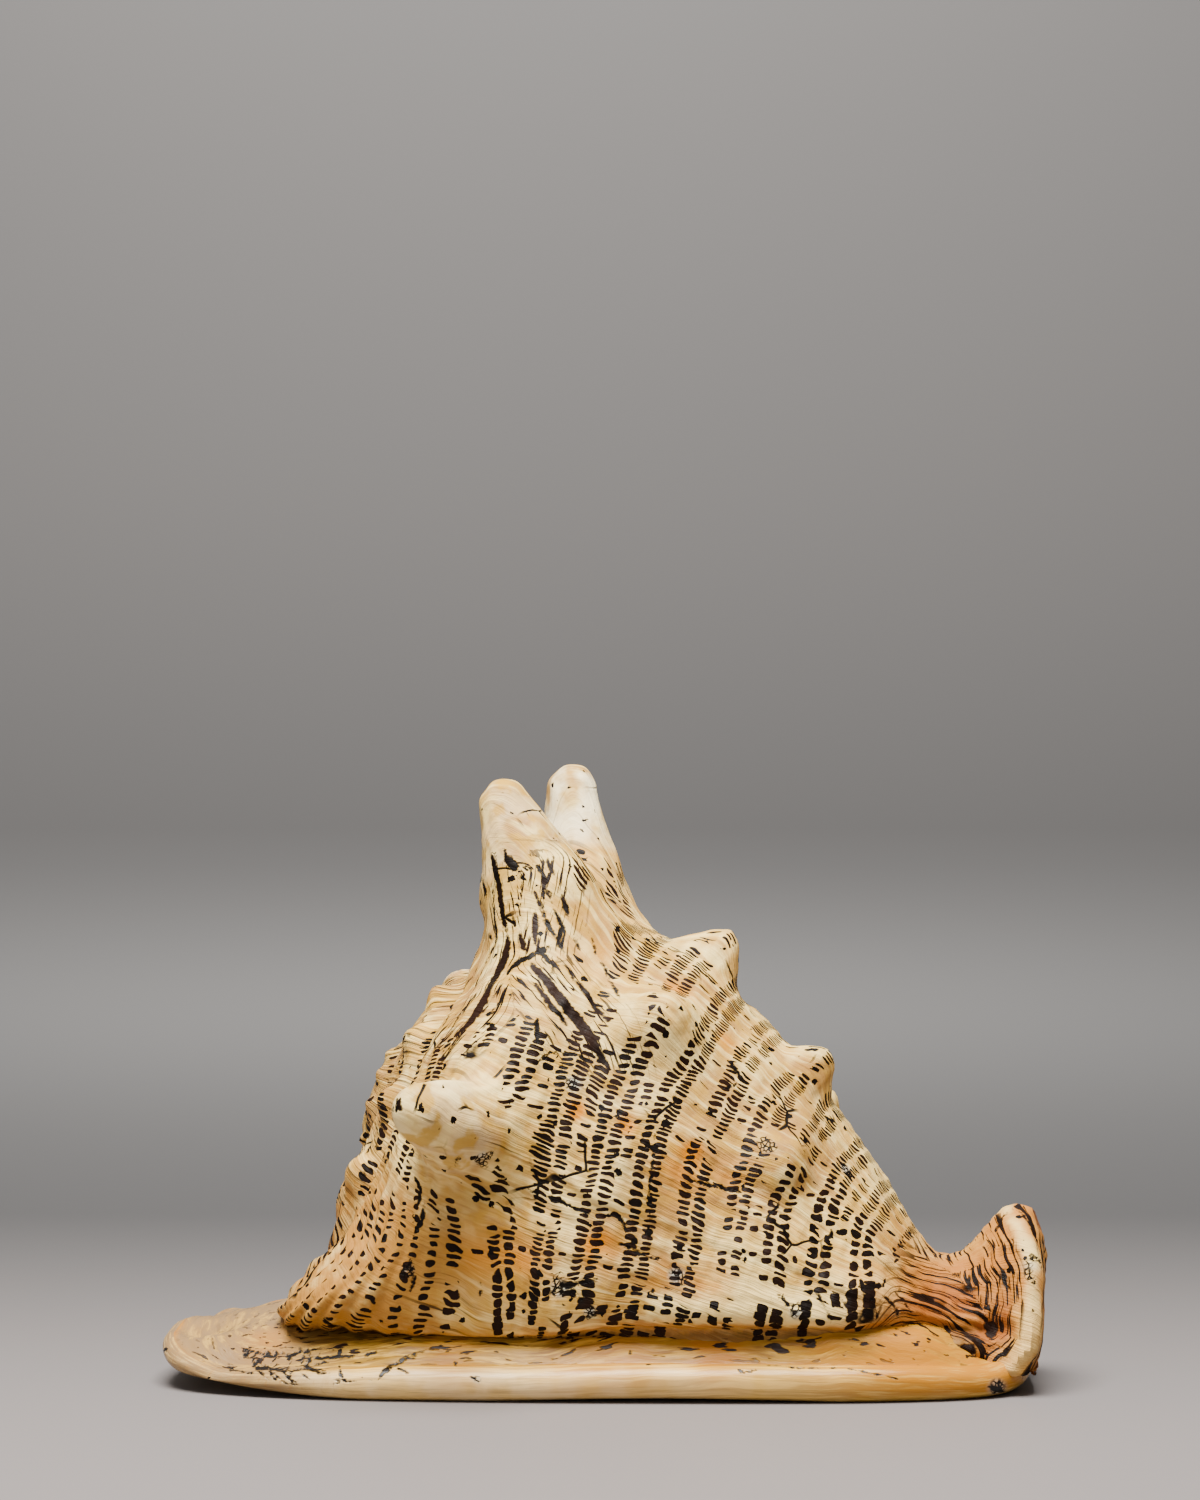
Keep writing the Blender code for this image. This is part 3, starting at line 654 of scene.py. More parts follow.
def whorl_maps(p, s, turn, relief):
    """The whorl's UV maps: growth is s and turn, and the others hold the places of its marks."""
    wear = np.zeros(s.shape)
    for _, _, tip, *_ in HORNS:
        gap = np.linalg.norm(p - np.array(tip) * MM, axis=-1)
        wear = np.maximum(wear, smooth((0.042 - gap) / 0.026))
    for place, angle, height, radius in KNOBS:
        foot, _ = seat(place * MM, radians(angle))
        gap = np.linalg.norm(p - foot, axis=-1)
        wear = np.maximum(wear, 0.6 * smooth((radius * 0.9 * MM - gap) / (radius * 0.6 * MM)))
    rim_gap, rim_along = path_place(p, FIN_RIM)
    beside = np.maximum(hump((turn + radians(50)) / 0.28), hump((turn + radians(5)) / 0.25))
    streaks = np.clip(0.8 * hump((s - 0.085) / 0.03) * beside, 0, 1)
    streaks = np.maximum(streaks, 0.9 * smooth((0.062 - s) / 0.02))
    streaks = np.maximum(streaks, np.clip(spots(p, STREAKED), 0, 1))
    fin = smooth((s - 0.222) / 0.03)
    dense = hump((s - 0.122) / 0.012) * hump((turn - radians(62)) / 0.3)
    dense = dense + 0.6 * hump((s - 0.112) / 0.012) * hump((turn - radians(25)) / 0.35)
    return {
        "growth": np.stack([s, turn], -1),
        "paths": np.stack([path_gap(p, STRIPES), path_gap(p, CRACKS)], -1),
        "stains": np.stack([spots(p, STAINS), star_gap(p, STARS)], -1),
        "zones": np.stack([wear, streaks], -1),
        "ends": np.stack([fin, np.clip(dense, 0, 1)], -1),
        "rim": np.stack([rim_gap, rim_along], -1),
        "relief": np.stack([relief / MM, 0 * s], -1),
        "flow": np.stack(path_place(p, FLOW), -1),
    }


class Value:
    """A number that a node gives out. Plain arithmetic on it lays out Math nodes."""

    def __init__(self, maker, socket):
        self.maker = maker
        self.socket = socket

    def __add__(self, other):
        return self.maker.math("ADD", self, other)

    def __sub__(self, other):
        return self.maker.math("SUBTRACT", self, other)

    def __rsub__(self, other):
        return self.maker.math("SUBTRACT", other, self)

    def __mul__(self, other):
        return self.maker.math("MULTIPLY", self, other)

    def __truediv__(self, other):
        return self.maker.math("DIVIDE", self, other)

    def __pow__(self, other):
        return self.maker.math("POWER", self, other)

    def __abs__(self):
        return self.maker.math("ABSOLUTE", self)

    __radd__ = __add__
    __rmul__ = __mul__


class Maker:
    """Short way to lay out one material's nodes."""

    def __init__(self, name):
        self.material = bpy.data.materials.new(name)
        self.material.use_nodes = True
        self.tree = self.material.node_tree
        self.shader = self.tree.nodes["Principled BSDF"]

    def node(self, kind, settings, **inputs):
        """Add a node with its settings and inputs, each a value or another node's output."""
        item = self.tree.nodes.new(kind)
        for key, value in settings.items():
            setattr(item, key, value)
        for key, value in inputs.items():
            place = int(key[1:]) if key[0] == "i" and key[1:].isdigit() else key.replace("_", " ")
            self.put(item.inputs[place], value)
        return item

    def put(self, socket, value):
        """Link an output to a socket, or set the socket's value."""
        value = getattr(value, "socket", value)
        if isinstance(value, bpy.types.NodeSocket):
            self.tree.links.new(value, socket)
        else:
            socket.default_value = value

    def value(self, kind, settings, output, **inputs):
        """One output of a new node, as a value."""
        return Value(self, self.node(kind, settings, **inputs).outputs[output])

    def math(self, operation, a, b=0.0, c=0.0):
        """One Math node's result."""
        return self.value("ShaderNodeMath", {"operation": operation}, 0, i0=a, i1=b, i2=c)

    def least(self, a, b):
        """The smaller of two values."""
        return self.math("MINIMUM", a, b)

    def most(self, a, *others):
        """The largest of several values."""
        for b in others:
            a = self.math("MAXIMUM", a, b)
        return a

    def floor(self, a):
        """The whole number at or below a value."""
        return self.math("FLOOR", a)

    def fract(self, a):
        """What a value has beyond that whole number."""
        return self.math("FRACT", a)

    def cosine(self, a):
        """A value's cosine."""
        return self.math("COSINE", a)

    def below(self, a, b):
        """1 where the first value is below the second, and 0 elsewhere."""
        return self.math("LESS_THAN", a, b)

    def above(self, a, b):
        """1 where the first value is above the second, and 0 elsewhere."""
        return self.math("GREATER_THAN", a, b)

    def ramp(self, value, low, high, start=0.0, end=1.0):
        """A value carried smoothly from one range to another and held beyond its ends."""
        settings = {"interpolation_type": "SMOOTHSTEP"}
        return self.value("ShaderNodeMapRange", settings, 0, i0=value, i1=low, i2=high, i3=start, i4=end)

    def line(self, value, low, high, start=0.0, end=1.0):
        """A value carried straight from one range to another and held beyond its ends."""
        return self.value("ShaderNodeMapRange", {}, 0, i0=value, i1=low, i2=high, i3=start, i4=end)

    def mix(self, share, a, b):
        """Colour a with a share of colour b over it."""
        return self.node("ShaderNodeMix", {"data_type": "RGBA"}, i0=share, i6=a, i7=b).outputs[2]

    def layers(self, base, *layers):
        """A base colour with layers over it, each a share and a colour."""
        for share, colour in layers:
            base = self.mix(share, base, colour)
        return base

    def noise(self, vector, scale, detail=2.0, roughness=0.5):
        """Cloudy values round 0.5 at a vector."""
        inputs = {"Vector": vector, "Scale": scale, "Detail": detail, "Roughness": roughness}
        return self.value("ShaderNodeTexNoise", {"noise_dimensions": "3D"}, "Fac", **inputs)

    def stretched(self, x, y, z, detail=2.0, roughness=0.5):
        """Cloudy values round 0.5 at three values taken as a place."""
        return self.noise(self.vector(x, y, z), 1.0, detail, roughness)

    def roughly(self, value, cloud, amount):
        """A value moved up and down by a cloud, so that what is cut from it has a ragged edge."""
        return (cloud - 0.5) * amount + value

    def chance(self, x, y, z=0.0):
        """A value from 0 to 1 that is random for each x, y and z."""
        inputs = {"Vector": self.vector(x, y, z)}
        return self.value("ShaderNodeTexWhiteNoise", {"noise_dimensions": "3D"}, "Value", **inputs)

    def pair(self, name):
        """The two values of a UV map."""
        return self.split(self.node("ShaderNodeUVMap", {"uv_map": name}).outputs[0])[:2]

    def split(self, vector):
        """The three values of a vector."""
        parts = self.node("ShaderNodeSeparateXYZ", {}, Vector=vector)
        return [Value(self, output) for output in parts.outputs]

    def place(self):
        """Where a point of the surface is, in metres."""
        return self.node("ShaderNodeTexCoord", {}).outputs["Object"]

    def web(self, vector, scale):
        """Distance to the nearest edge between irregular cells."""
        settings = {"feature": "DISTANCE_TO_EDGE"}
        return self.value("ShaderNodeTexVoronoi", settings, "Distance", Vector=vector, Scale=scale)

    def dots(self, vector, scale):
        """Scattered dots: the distance to the nearest one, and two values that are random for each."""
        item = self.node("ShaderNodeTexVoronoi", {}, Vector=vector, Scale=scale)
        tint = self.node("ShaderNodeSeparateColor", {}, Color=item.outputs["Color"])
        return [Value(self, output) for output in (item.outputs["Distance"], *tint.outputs[:2])]

    def strayed(self, vector, scale, amount):
        """A vector moved by a cloudy vector round 0, by the amount at most."""
        cloud = self.node("ShaderNodeTexNoise", {}, Vector=vector, Scale=scale, Detail=2.0)
        inputs = {"i0": cloud.outputs["Color"], "i1": (0.5, 0.5, 0.5)}
        about = self.node("ShaderNodeVectorMath", {"operation": "SUBTRACT"}, **inputs).outputs[0]
        inputs = {"i0": about, "i1": (amount, amount, amount), "i2": vector}
        return self.node("ShaderNodeVectorMath", {"operation": "MULTIPLY_ADD"}, **inputs).outputs[0]

    def relief(self, height, distance, strength):
        """Bump the surface by a height."""
        bump = self.node("ShaderNodeBump", {}, Height=height, Distance=distance, Strength=strength)
        self.put(self.shader.inputs["Normal"], bump.outputs[0])

    def vector(self, x, y, z=0.0):
        """Three values as one vector."""
        return self.node("ShaderNodeCombineXYZ", {}, X=x, Y=y, Z=z).outputs[0]


def whorl_material():
    """Ivory whorl: columns of dark dashes, growth streaks, tan clouds, orange stains and fine cracks, with
    painted shade along its foot and a painted highlight on the far horn.
    """
    m = Maker("whorl_ivory")
    place = m.place()
    s, turn = m.pair("growth")
    stripe, crack = m.pair("paths")
    stain, star = m.pair("stains")
    wear, streaky = m.pair("zones")
    fin, dense = m.pair("ends")
    rim_gap, rim_along = m.pair("rim")
    x, y, z = m.split(place)
    height_mm = z * 1000.0
    cloud = m.noise(place, 30.0, 3.0)
    patch = m.noise(place, 75.0, 3.0)
    ragged = m.noise(place, 650.0, 2.0)
    wander = m.noise(place, 42.0, 2.0) - 0.5
    tremble = m.noise(place, 170.0, 1.0) - 0.5

    # Growth lines: noise drawn out along the profile, fine across it
    drift = wander * 0.1 + turn
    lines = m.stretched(s * 40.0, drift * 60.0, 0.0, 3.0, 0.6)
    broad = m.stretched(s * 14.0, drift * 9.0, 3.0, 3.0, 0.5)

    # Ground colour: cream, clouded with tan and honey along the growth lines, and pale where it is raised
    mottle = m.noise(place, 190.0, 3.0)
    bands = m.stretched(s * 45.0, drift * 28.0, 6.0)
    raised, _ = m.pair("relief")
    raised += tremble
    ground = m.layers(
        CREAM,
        (m.ramp(patch, 0.44, 0.58), PALE),
        (m.ramp(cloud, 0.41, 0.58) * 0.9, TAN),
        (m.ramp(bands, 0.46, 0.36) * 0.6, TAN),
        (m.ramp(mottle, 0.46, 0.64) * 0.5, HONEY),
        (m.ramp(broad, 0.48, 0.64) * 0.6, HONEY),
        (m.ramp(lines, 0.48, 0.66) * 0.5, TAN),
        (m.ramp(bands, 0.53, 0.64) * 0.6, PALE),
        (m.ramp(raised, 0.1, 1.3) * 0.75, PALE),
        (m.ramp(raised, -0.1, -1.5) * 0.75, TAN),
    )

    # Worn white on the horns, laid on more strongly on the far horn as a painted highlight, blushing in the
    # fin under its pale rim, sandy on the skirt, stained orange
    # Painted highlight: the real worn white of the horn tips is raised from the near horns to the far horn,
    # which stands brightest in the light
    far_horn_highlight = m.ramp(y, 0.0, 0.03, 0.35, 1.15)
    worn = m.ramp(wear, 0.55, 1.0) * m.ramp(patch, 0.62, 0.42, 0.05, 0.85)
    blotch = m.ramp(m.noise(place, 120.0, 3.0), 0.52, 0.62) * m.ramp(y, 0.03, 0.0)
    deep = m.ramp(rim_gap, 4.0, 9.0) * fin * m.ramp(height_mm, 46.0, 26.0)
    pale_rim = m.ramp(m.roughly(rim_gap, patch, 9.0), 1.0, 4.0, 1.0, 0.0)
    pale_rim *= fin * m.ramp(height_mm, 16.0, 34.0, 0.4, 1.0)
    skirt = m.ramp(x, -0.034, -0.062) * m.ramp(height_mm, 74.0, 56.0)
    soaked = stain * m.ramp(patch, 0.34, 0.58, 0.5, 1.4)
    ground = m.layers(
        ground,
        (m.least(worn * far_horn_highlight, 1.0), WHITE),
        (blotch * m.line(wear, 0.2, 0.8, 0.25, 0.75), HONEY),
        (fin * m.ramp(cloud, 0.3, 0.6, 0.45, 0.95), BLUSH),
        (deep * m.ramp(patch, 0.3, 0.6, 0.35, 0.9), DEEP_BLUSH),
        (pale_rim * 0.8, PALE),
        (skirt * m.ramp(mottle, 0.35, 0.6, 0.5, 0.95), SANDY),
        (m.line(soaked, 0.0, 1.0, 0.0, 0.92), ORANGE),
    )

    # Columns of dashes: two near each other and the third mostly missing, each bar cut from the column
    lean = m.ramp(turn, radians(50), radians(118), 0.0, -2.6)
    fall = m.least(height_mm - SKIRT_LEAN_TOP, 0.0)
    fall *= m.ramp(x, -0.009, -0.036)
    lean += fall * SKIRT_LEAN
    column = s * (1 / CORD_SPACING) + (wander * 0.9 + lean)
    column += tremble * 0.25
    number = m.floor(column)
    across = m.fract(column) - 0.5
    middle_s = number * CORD_SPACING
    radius = m.least(m.line(middle_s, 0.12, 0.26, 0.071, 0.034), m.line(middle_s, 0.0, 0.07, 0.012, 0.071))
    upper = m.below(middle_s * -1.8 + turn, 0.4)
    pitch = m.line(m.chance(number, 7.0), 0.0, 1.0, 0.0016, 0.0022)
    pitch *= m.line(middle_s, 0.18, 0.205, 1.0, 1.5)
    pitch *= (1 - 0.18 * upper)
    phase = drift * radius / pitch
    phase += m.chance(number, 1.0) * 37.0
    phase += across * 0.5
    phase += tremble * 1.2
    bar = m.floor(phase)
    up = m.fract(phase) - 0.5
    low = m.ramp(height_mm, 36.0, 30.0) * m.ramp(y, -0.04, -0.06)
    low *= (1.0 - skirt)
    luck = m.chance(number, bar)
    group = m.chance(number, m.floor(bar * 0.4 + m.chance(number, 11.0)), 3.0)
    other = m.chance(number, bar, 5.0)
    length = m.line(luck, 0.0, 1.0, 0.3, 0.46)
    length *= (1 - 0.46 * skirt)
    half = low * m.line(group, 0.0, 1.0, -0.05, 0.3) + m.line(other, 0.0, 1.0, 0.28, 0.44)
    half *= (1 - 0.3 * skirt)
    half *= (1 - 0.14 * upper)
    shifted = m.roughly(across, other, 0.16)
    far = abs(shifted / length) ** 3.0
    thick = abs(up / half) ** 3.0
    shape = m.roughly(far + thick, ragged, 1.7)
    bars = m.ramp(shape, 0.8, 1.2, 1.0, 0.0)
    third = m.math("COMPARE", m.math("FLOORED_MODULO", number, 3.0), 2.0, 0.1)
    third *= (1.0 - skirt)
    wish = third * -0.95 + m.ramp(m.noise(place, 38.0, 2.0), 0.3, 0.5, 0.45, 1.3)
    wish += low * (group - 0.62) * 2.0
    wish -= 0.1 * skirt
    wish += m.chance(number, 3.0) * 0.35
    wish += dense * 0.9
    wish -= 1.4 * wear
    wish -= 0.5 * streaky
    valley = m.ramp(stripe, 4.0, 9.0, 1.0, 0.0) * m.ramp(height_mm, 100.0, 112.0)
    wish -= 1.2 * valley
    wish -= 1.5 * m.ramp(fin, 0.3, 0.7)
    wish -= 0.55 * m.ramp(broad, 0.36, 0.5, 1.0, 0.0)
    chosen = m.above(wish, (luck + 0.25) * 0.9)
    bars *= chosen
    faint = m.ramp(turn, radians(-60), radians(-20), 0.85, 1.0)
    bars *= faint

    # Streaks along the growth lines, in the valleys between the horns, on the spire and in the fin
    streak = m.stretched(s * 26.0, drift * 44.0, 9.0, 2.0, 0.55)
    fine = m.ramp(streak, 0.56, 0.62)
    streaks = fine * streaky
    flow_gap, flow_along = m.pair("flow")
    beside = tremble * 0.8 + (wander * 2.5 + flow_gap)
    flow = m.ramp(m.stretched(beside * 0.95, flow_along * 0.06, 2.0, 2.0, 0.6), 0.565, 0.6)
    near = m.ramp(flow_gap, 9.0, 19.0, 1.0, 0.0) * m.ramp(height_mm, 92.0, 104.0)
    near *= m.ramp(y, -0.012, -0.028)
    near *= m.ramp(height_mm, 172.0, 160.0)
    streaks = m.most(streaks, flow * near)
    bent_gap = wander * 6.0 + rim_gap
    folds = m.ramp(m.stretched(bent_gap * 0.92, rim_along * 0.055, 4.0, 2.0, 0.6), 0.52, 0.555)
    inside = m.ramp(fin, 0.25, 0.8) * m.ramp(rim_gap, 2.5, 4.0)
    streaks = m.most(streaks, folds * inside)
    edge = m.roughly(stripe - 0.15, ragged, 1.6)
    streaks = m.most(streaks, m.ramp(edge, -0.25, 0.35, 1.0, 0.0))

    # Cracks: the listed ones, a sparse net, the frost of the stars, and specks
    edge = m.roughly(crack - 0.22, ragged, 1.8)
    cracks = m.ramp(edge, -0.2, 0.25, 1.0, 0.0)
    bent = m.strayed(place, 60.0, 0.008)
    net = m.web(bent, 58.0)
    rare = m.ramp(m.noise(place, 52.0, 1.0), 0.6, 0.66)
    cracks = m.most(cracks, m.ramp(net, 0.012, 0.03, 1.0, 0.0) * rare)
    frost_net = m.web(bent, 780.0)
    frost = m.ramp(frost_net, 0.08, 0.2, 1.0, 0.0) * m.ramp(m.roughly(star, mottle, 2.6), 0.5, 0.8, 1.0, 0.0)
    dot_gap, dot_luck, dot_size = m.dots(place, 210.0)
    rarity = wear * -0.14 + 0.75
    reach = m.roughly(dot_gap, ragged, 0.5)
    size = dot_size * 0.16 + 0.1
    specks = m.below(reach, size) * m.above(dot_luck, rarity)

    # The marks over the ground, and painted shade: the whorl's foot darkened to umber over the crevice where
    # it meets the lip
    icy = m.ramp(star, 0.2, 0.9, 1.0, 0.0) * m.ramp(mottle, 0.4, 0.55, 0.1, 0.7)
    brown = m.mix(m.ramp(patch, 0.35, 0.65), INK, UMBER)
    dark = m.most(cracks, frost, specks)
    crevice_shade_edge = tremble * 3.0 + (ragged * 2.0 + height_mm)
    crevice_shade_edge -= m.ramp(x, -0.022, 0.008, 0.0, 3.0)
    # Painted shade: umber along the whorl's low edge on the lip side, standing in for the shadow in the
    # crevice
    foot = m.ramp(crevice_shade_edge, 20.0, 17.0) * m.ramp(y, -0.03, -0.05)
    foot *= m.ramp(x, 0.118, 0.108)
    foot *= m.ramp(x, -0.01, 0.02, 0.85, 0.55)
    marks = [(icy, FROST), (bars, brown), (streaks, brown), (dark, INK), (foot, UMBER)]
    m.put(m.shader.inputs["Base Color"], m.layers(ground, *marks))
    m.put(m.shader.inputs["Roughness"], m.line(patch + lines, 0.6, 1.4, 0.34, 0.52))
    m.shader.inputs["Specular IOR Level"].default_value = 0.08

    # Fine relief: growth lines, low cords, sunk dashes and cracks
    cord = m.cosine(across * (2 * pi))
    height = lines + cord * 0.12 + mottle * 0.7 + ragged * 0.12
    sunk = m.most(bars, streaks, dark * 1.6)
    height -= 0.45 * sunk
    m.relief(height, 0.0006, 1.0)
    return m.material


CREAM = (0.84, 0.52, 0.14, 1)
TAN = (0.38, 0.19, 0.05, 1)
HONEY = (0.55, 0.31, 0.04, 1)
PALE = (0.94, 0.71, 0.27, 1)
WHITE = (0.99, 0.86, 0.54, 1)
SANDY = (0.42, 0.19, 0.035, 1)
BLUSH = (0.5, 0.19, 0.030, 1)
DEEP_BLUSH = (0.3, 0.085, 0.015, 1)
ORANGE = (0.62, 0.205, 0.001, 1)
FROST = (0.4, 0.47, 0.47, 1)
INK = (0.005, 0.003, 0.002, 1)
UMBER = (0.016, 0.006, 0.003, 1)

ROWS = 282
COLUMNS = 344


def foot_sag(p):
    """How much lower the whorl's foot hangs on the lip side, towards the spire's end."""
    x, y, z = p[..., 0] / MM, p[..., 1] / MM, p[..., 2] / MM
    foot = smooth((42 - z) / 20) * smooth((z - 8) / 8)
    stretch = smooth((x + 78) / 18) * smooth((2 - x) / 20)
    return FOOT_SAG * foot * stretch * smooth((-y - 30) / 20)


def spread(start, stop, count, centre, width, extra):
    """Rising values from start to stop, closer to each other round a centre."""
    fine = np.linspace(start, stop, 4000)
    share = np.cumsum(1 + extra * hump((fine - centre) / width))
    share = (share - share[0]) / (share[-1] - share[0])
    return np.interp(np.linspace(0, 1, count), share, fine)


s = spread(0, PROFILE[-1], ROWS + 2, 0.088, 0.035, 1.1)
turn = spread(-pi, pi, COLUMNS + 1, radians(55), radians(62), 1.6)[:-1]
grid_s, grid_turn = np.meshgrid(s[1:-1], turn, indexing="ij")
whorl_points = horned_whorl(grid_s, grid_turn)
whorl_points[..., 2] -= foot_sag(whorl_points)
whorl_out = grid_normals(whorl_points)
middle = APEX + 0.08 * ALONG
whorl_out *= np.sign(np.sum(whorl_out * (whorl_points - middle), axis=-1).mean())
ends = smooth(grid_s / 0.02) * smooth((PROFILE[-1] - grid_s) / 0.02)
relief = growth_relief(whorl_points, grid_s, grid_turn) * ends
swells = spots(whorl_points, SWELLS) * MM
whorl_points = whorl_points + whorl_out * (relief + swells)[..., None]
whorl_marks = whorl_maps(whorl_points, grid_s, grid_turn, relief)
whorl_poles = whorl(s[[0, -1]], np.zeros(2))
whorl_piece = closed_piece("whorl", whorl_points, whorl_poles, whorl_material(), whorl_marks, 2 * pi)
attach(whorl_piece, "root")
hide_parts("shell")


# Lip and shield: the thick rolled edge of the last growth and the broad glossy callus that spreads
# round the mouth, both laid down together. One plate with a rolled edge, following its own outline.

# x and y of the outline, lift off the ground, roll radius, rise towards the whorl, in mm
RIM = np.array([
    (-135, -42, 8.2, 3.8, 4),
    (-119, -62, 5.2, 4.6, 6),
    (-85, -74, 0.5, 6.4, 6),
    (-35, -80, 0.0, 7.0, 5),
    (25, -82, 1.4, 6.6, 6),
    (80, -81, 0.0, 7.0, 6),
    (116, -73, 0.0, 6.8, 6),
    (131, -57, 0.6, 7.0, 5),
    (132, -26, 1.0, 6.0, 6),
    (117, 18, 0.6, 4.6, 10),
    (82, 66, 0.0, 4.4, 12),
    (30, 102, 0.0, 4.4, 12),
    (-25, 114, 0.0, 4.4, 12),
    (-75, 98, 0.6, 4.2, 12),
    (-112, 58, 5.0, 4.5, 8),
    (-131, 3, 8.0, 4.5, 5),
]) * MM
RIM_CENTRE = np.array([5, -10]) * MM
RISE_WIDTH = 45 * MM
FLAT_WIDTH = 12 * MM
HOLLOW_WIDTH = 30 * MM
HOLLOW = 4 * MM
LIP_SLOPE = 0.30
SLOPE_WIDTH = 17 * MM
# Along x, how far the lip is drawn up against the whorl's foot
SHOULDER_PLACES = [-100, -70, -45, -20, 5, 40, 75, 98, 112, 126]
SHOULDER_RISES = [0, 2, 4.5, 6.0, 8.5, 9.0, 9.0, 7.0, 3.0, 0]
RIM_STEPS = 700
TOP_STEPS = 46
ROLL_STEPS = 30
UNDER_STEPS = 30


# Lobes and hollows of its top at the spire end: x, y and radius, then height, in mm
LOBES = [
    ((-126, -50, 9), 1.5),
    ((-112, -56, 12), -2.2),
    ((-122, -30, 10), -3.5),
    ((-118, -5, 12), 0.8),
    ((-128, 10, 14), -4.0),
    ((-112, 40, 20), -3.0),
    ((-95, -58, 12), -1.5),
    ((-60, -66, 8), 1.0),
]


def closed_spline(values, u):
    """Smooth loop through the rows of values, evenly spaced, for u from 0 to 1 round the loop."""
    count = len(values)
    index = np.arange(-4, count + 5)
    return spline(index / count, values[index % count], u % 1.0)


def lip_points(u, v):
    """Points of the rolled plate, u round the outline and v from the top's middle to the underside's.

    v from 0 to 1 crosses the top, 1 to 2 goes round the roll, and 2 to 3 comes back underneath, flat
    near the edge and hollow further in.
    """
    x, y, lift, roll, rise = closed_spline(RIM, u.ravel()).T
    v = v.ravel()
    lift = np.maximum(lift, 0)
    spoke = np.stack([x, y], 1) - RIM_CENTRE
    reach = np.linalg.norm(spoke, axis=1)
    spoke = spoke / reach[:, None]
    inner = reach - roll
    angle = pi / 2 - pi * np.clip(v - 1, 0, 1)
    top_inset = inner * (1 - np.clip(v, 0, 1))
    low_inset = inner * np.clip(v - 2, 0, 1)
    out = inner - top_inset - low_inset + roll * np.cos(angle)
    hollow = smooth((low_inset - FLAT_WIDTH) / HOLLOW_WIDTH)
    z = lift + roll + roll * np.sin(angle) + rise * smooth(top_inset / RISE_WIDTH)
    z = np.where(v > 2, lift * (1 - hollow) + HOLLOW * hollow, z)
    p = np.column_stack([RIM_CENTRE + spoke * out[:, None], z])
    lip_side = smooth((-p[:, 1] - 0.035) / 0.02)
    slope = LIP_SLOPE * (1 - smooth(top_inset / SLOPE_WIDTH)) * lip_side * (v < 2)
    p[:, 2] *= 1 - slope * smooth((0.135 - p[:, 0]) / 0.02)
    drawn_up = np.interp(p[:, 0] / MM, SHOULDER_PLACES, SHOULDER_RISES) * MM
    drawn_up *= smooth((top_inset + 0.002) / 0.009) * smooth((0.024 - top_inset) / 0.010)
    p[:, 2] += drawn_up * (v < 1.5) * lip_side
    edge = smooth((v - 0.55) / 0.3) * smooth((1.75 - v) / 0.3)
    spire_end = smooth((-p[:, 0] - 0.055) / 0.05)
    crease = hump((top_inset - 0.0065 - 0.002 * lumps(p, 0.03, 11)) / 0.0016) * (v < 1.2)
    z = 0.35 * lumps(p, 0.02, 12) + 0.15 * lumps(p, 0.007, 13) - 0.55 * crease
    z += 0.25 * spire_end * np.cos(2 * pi * (top_inset / 0.0042 + 0.9 * lumps(p, 0.02, 14))) * (v < 1.2)
    z += 1.1 * spire_end * lumps(p, 0.03, 15)
    for place, height in LOBES:
        x, y, radius = np.array(place) * MM
        z += height * hump(np.hypot(p[:, 0] - x, p[:, 1] - y) / radius)
    p[:, 2] = np.maximum(p[:, 2] + edge * z * MM, 0)
    return p.reshape(u.shape + (3,))


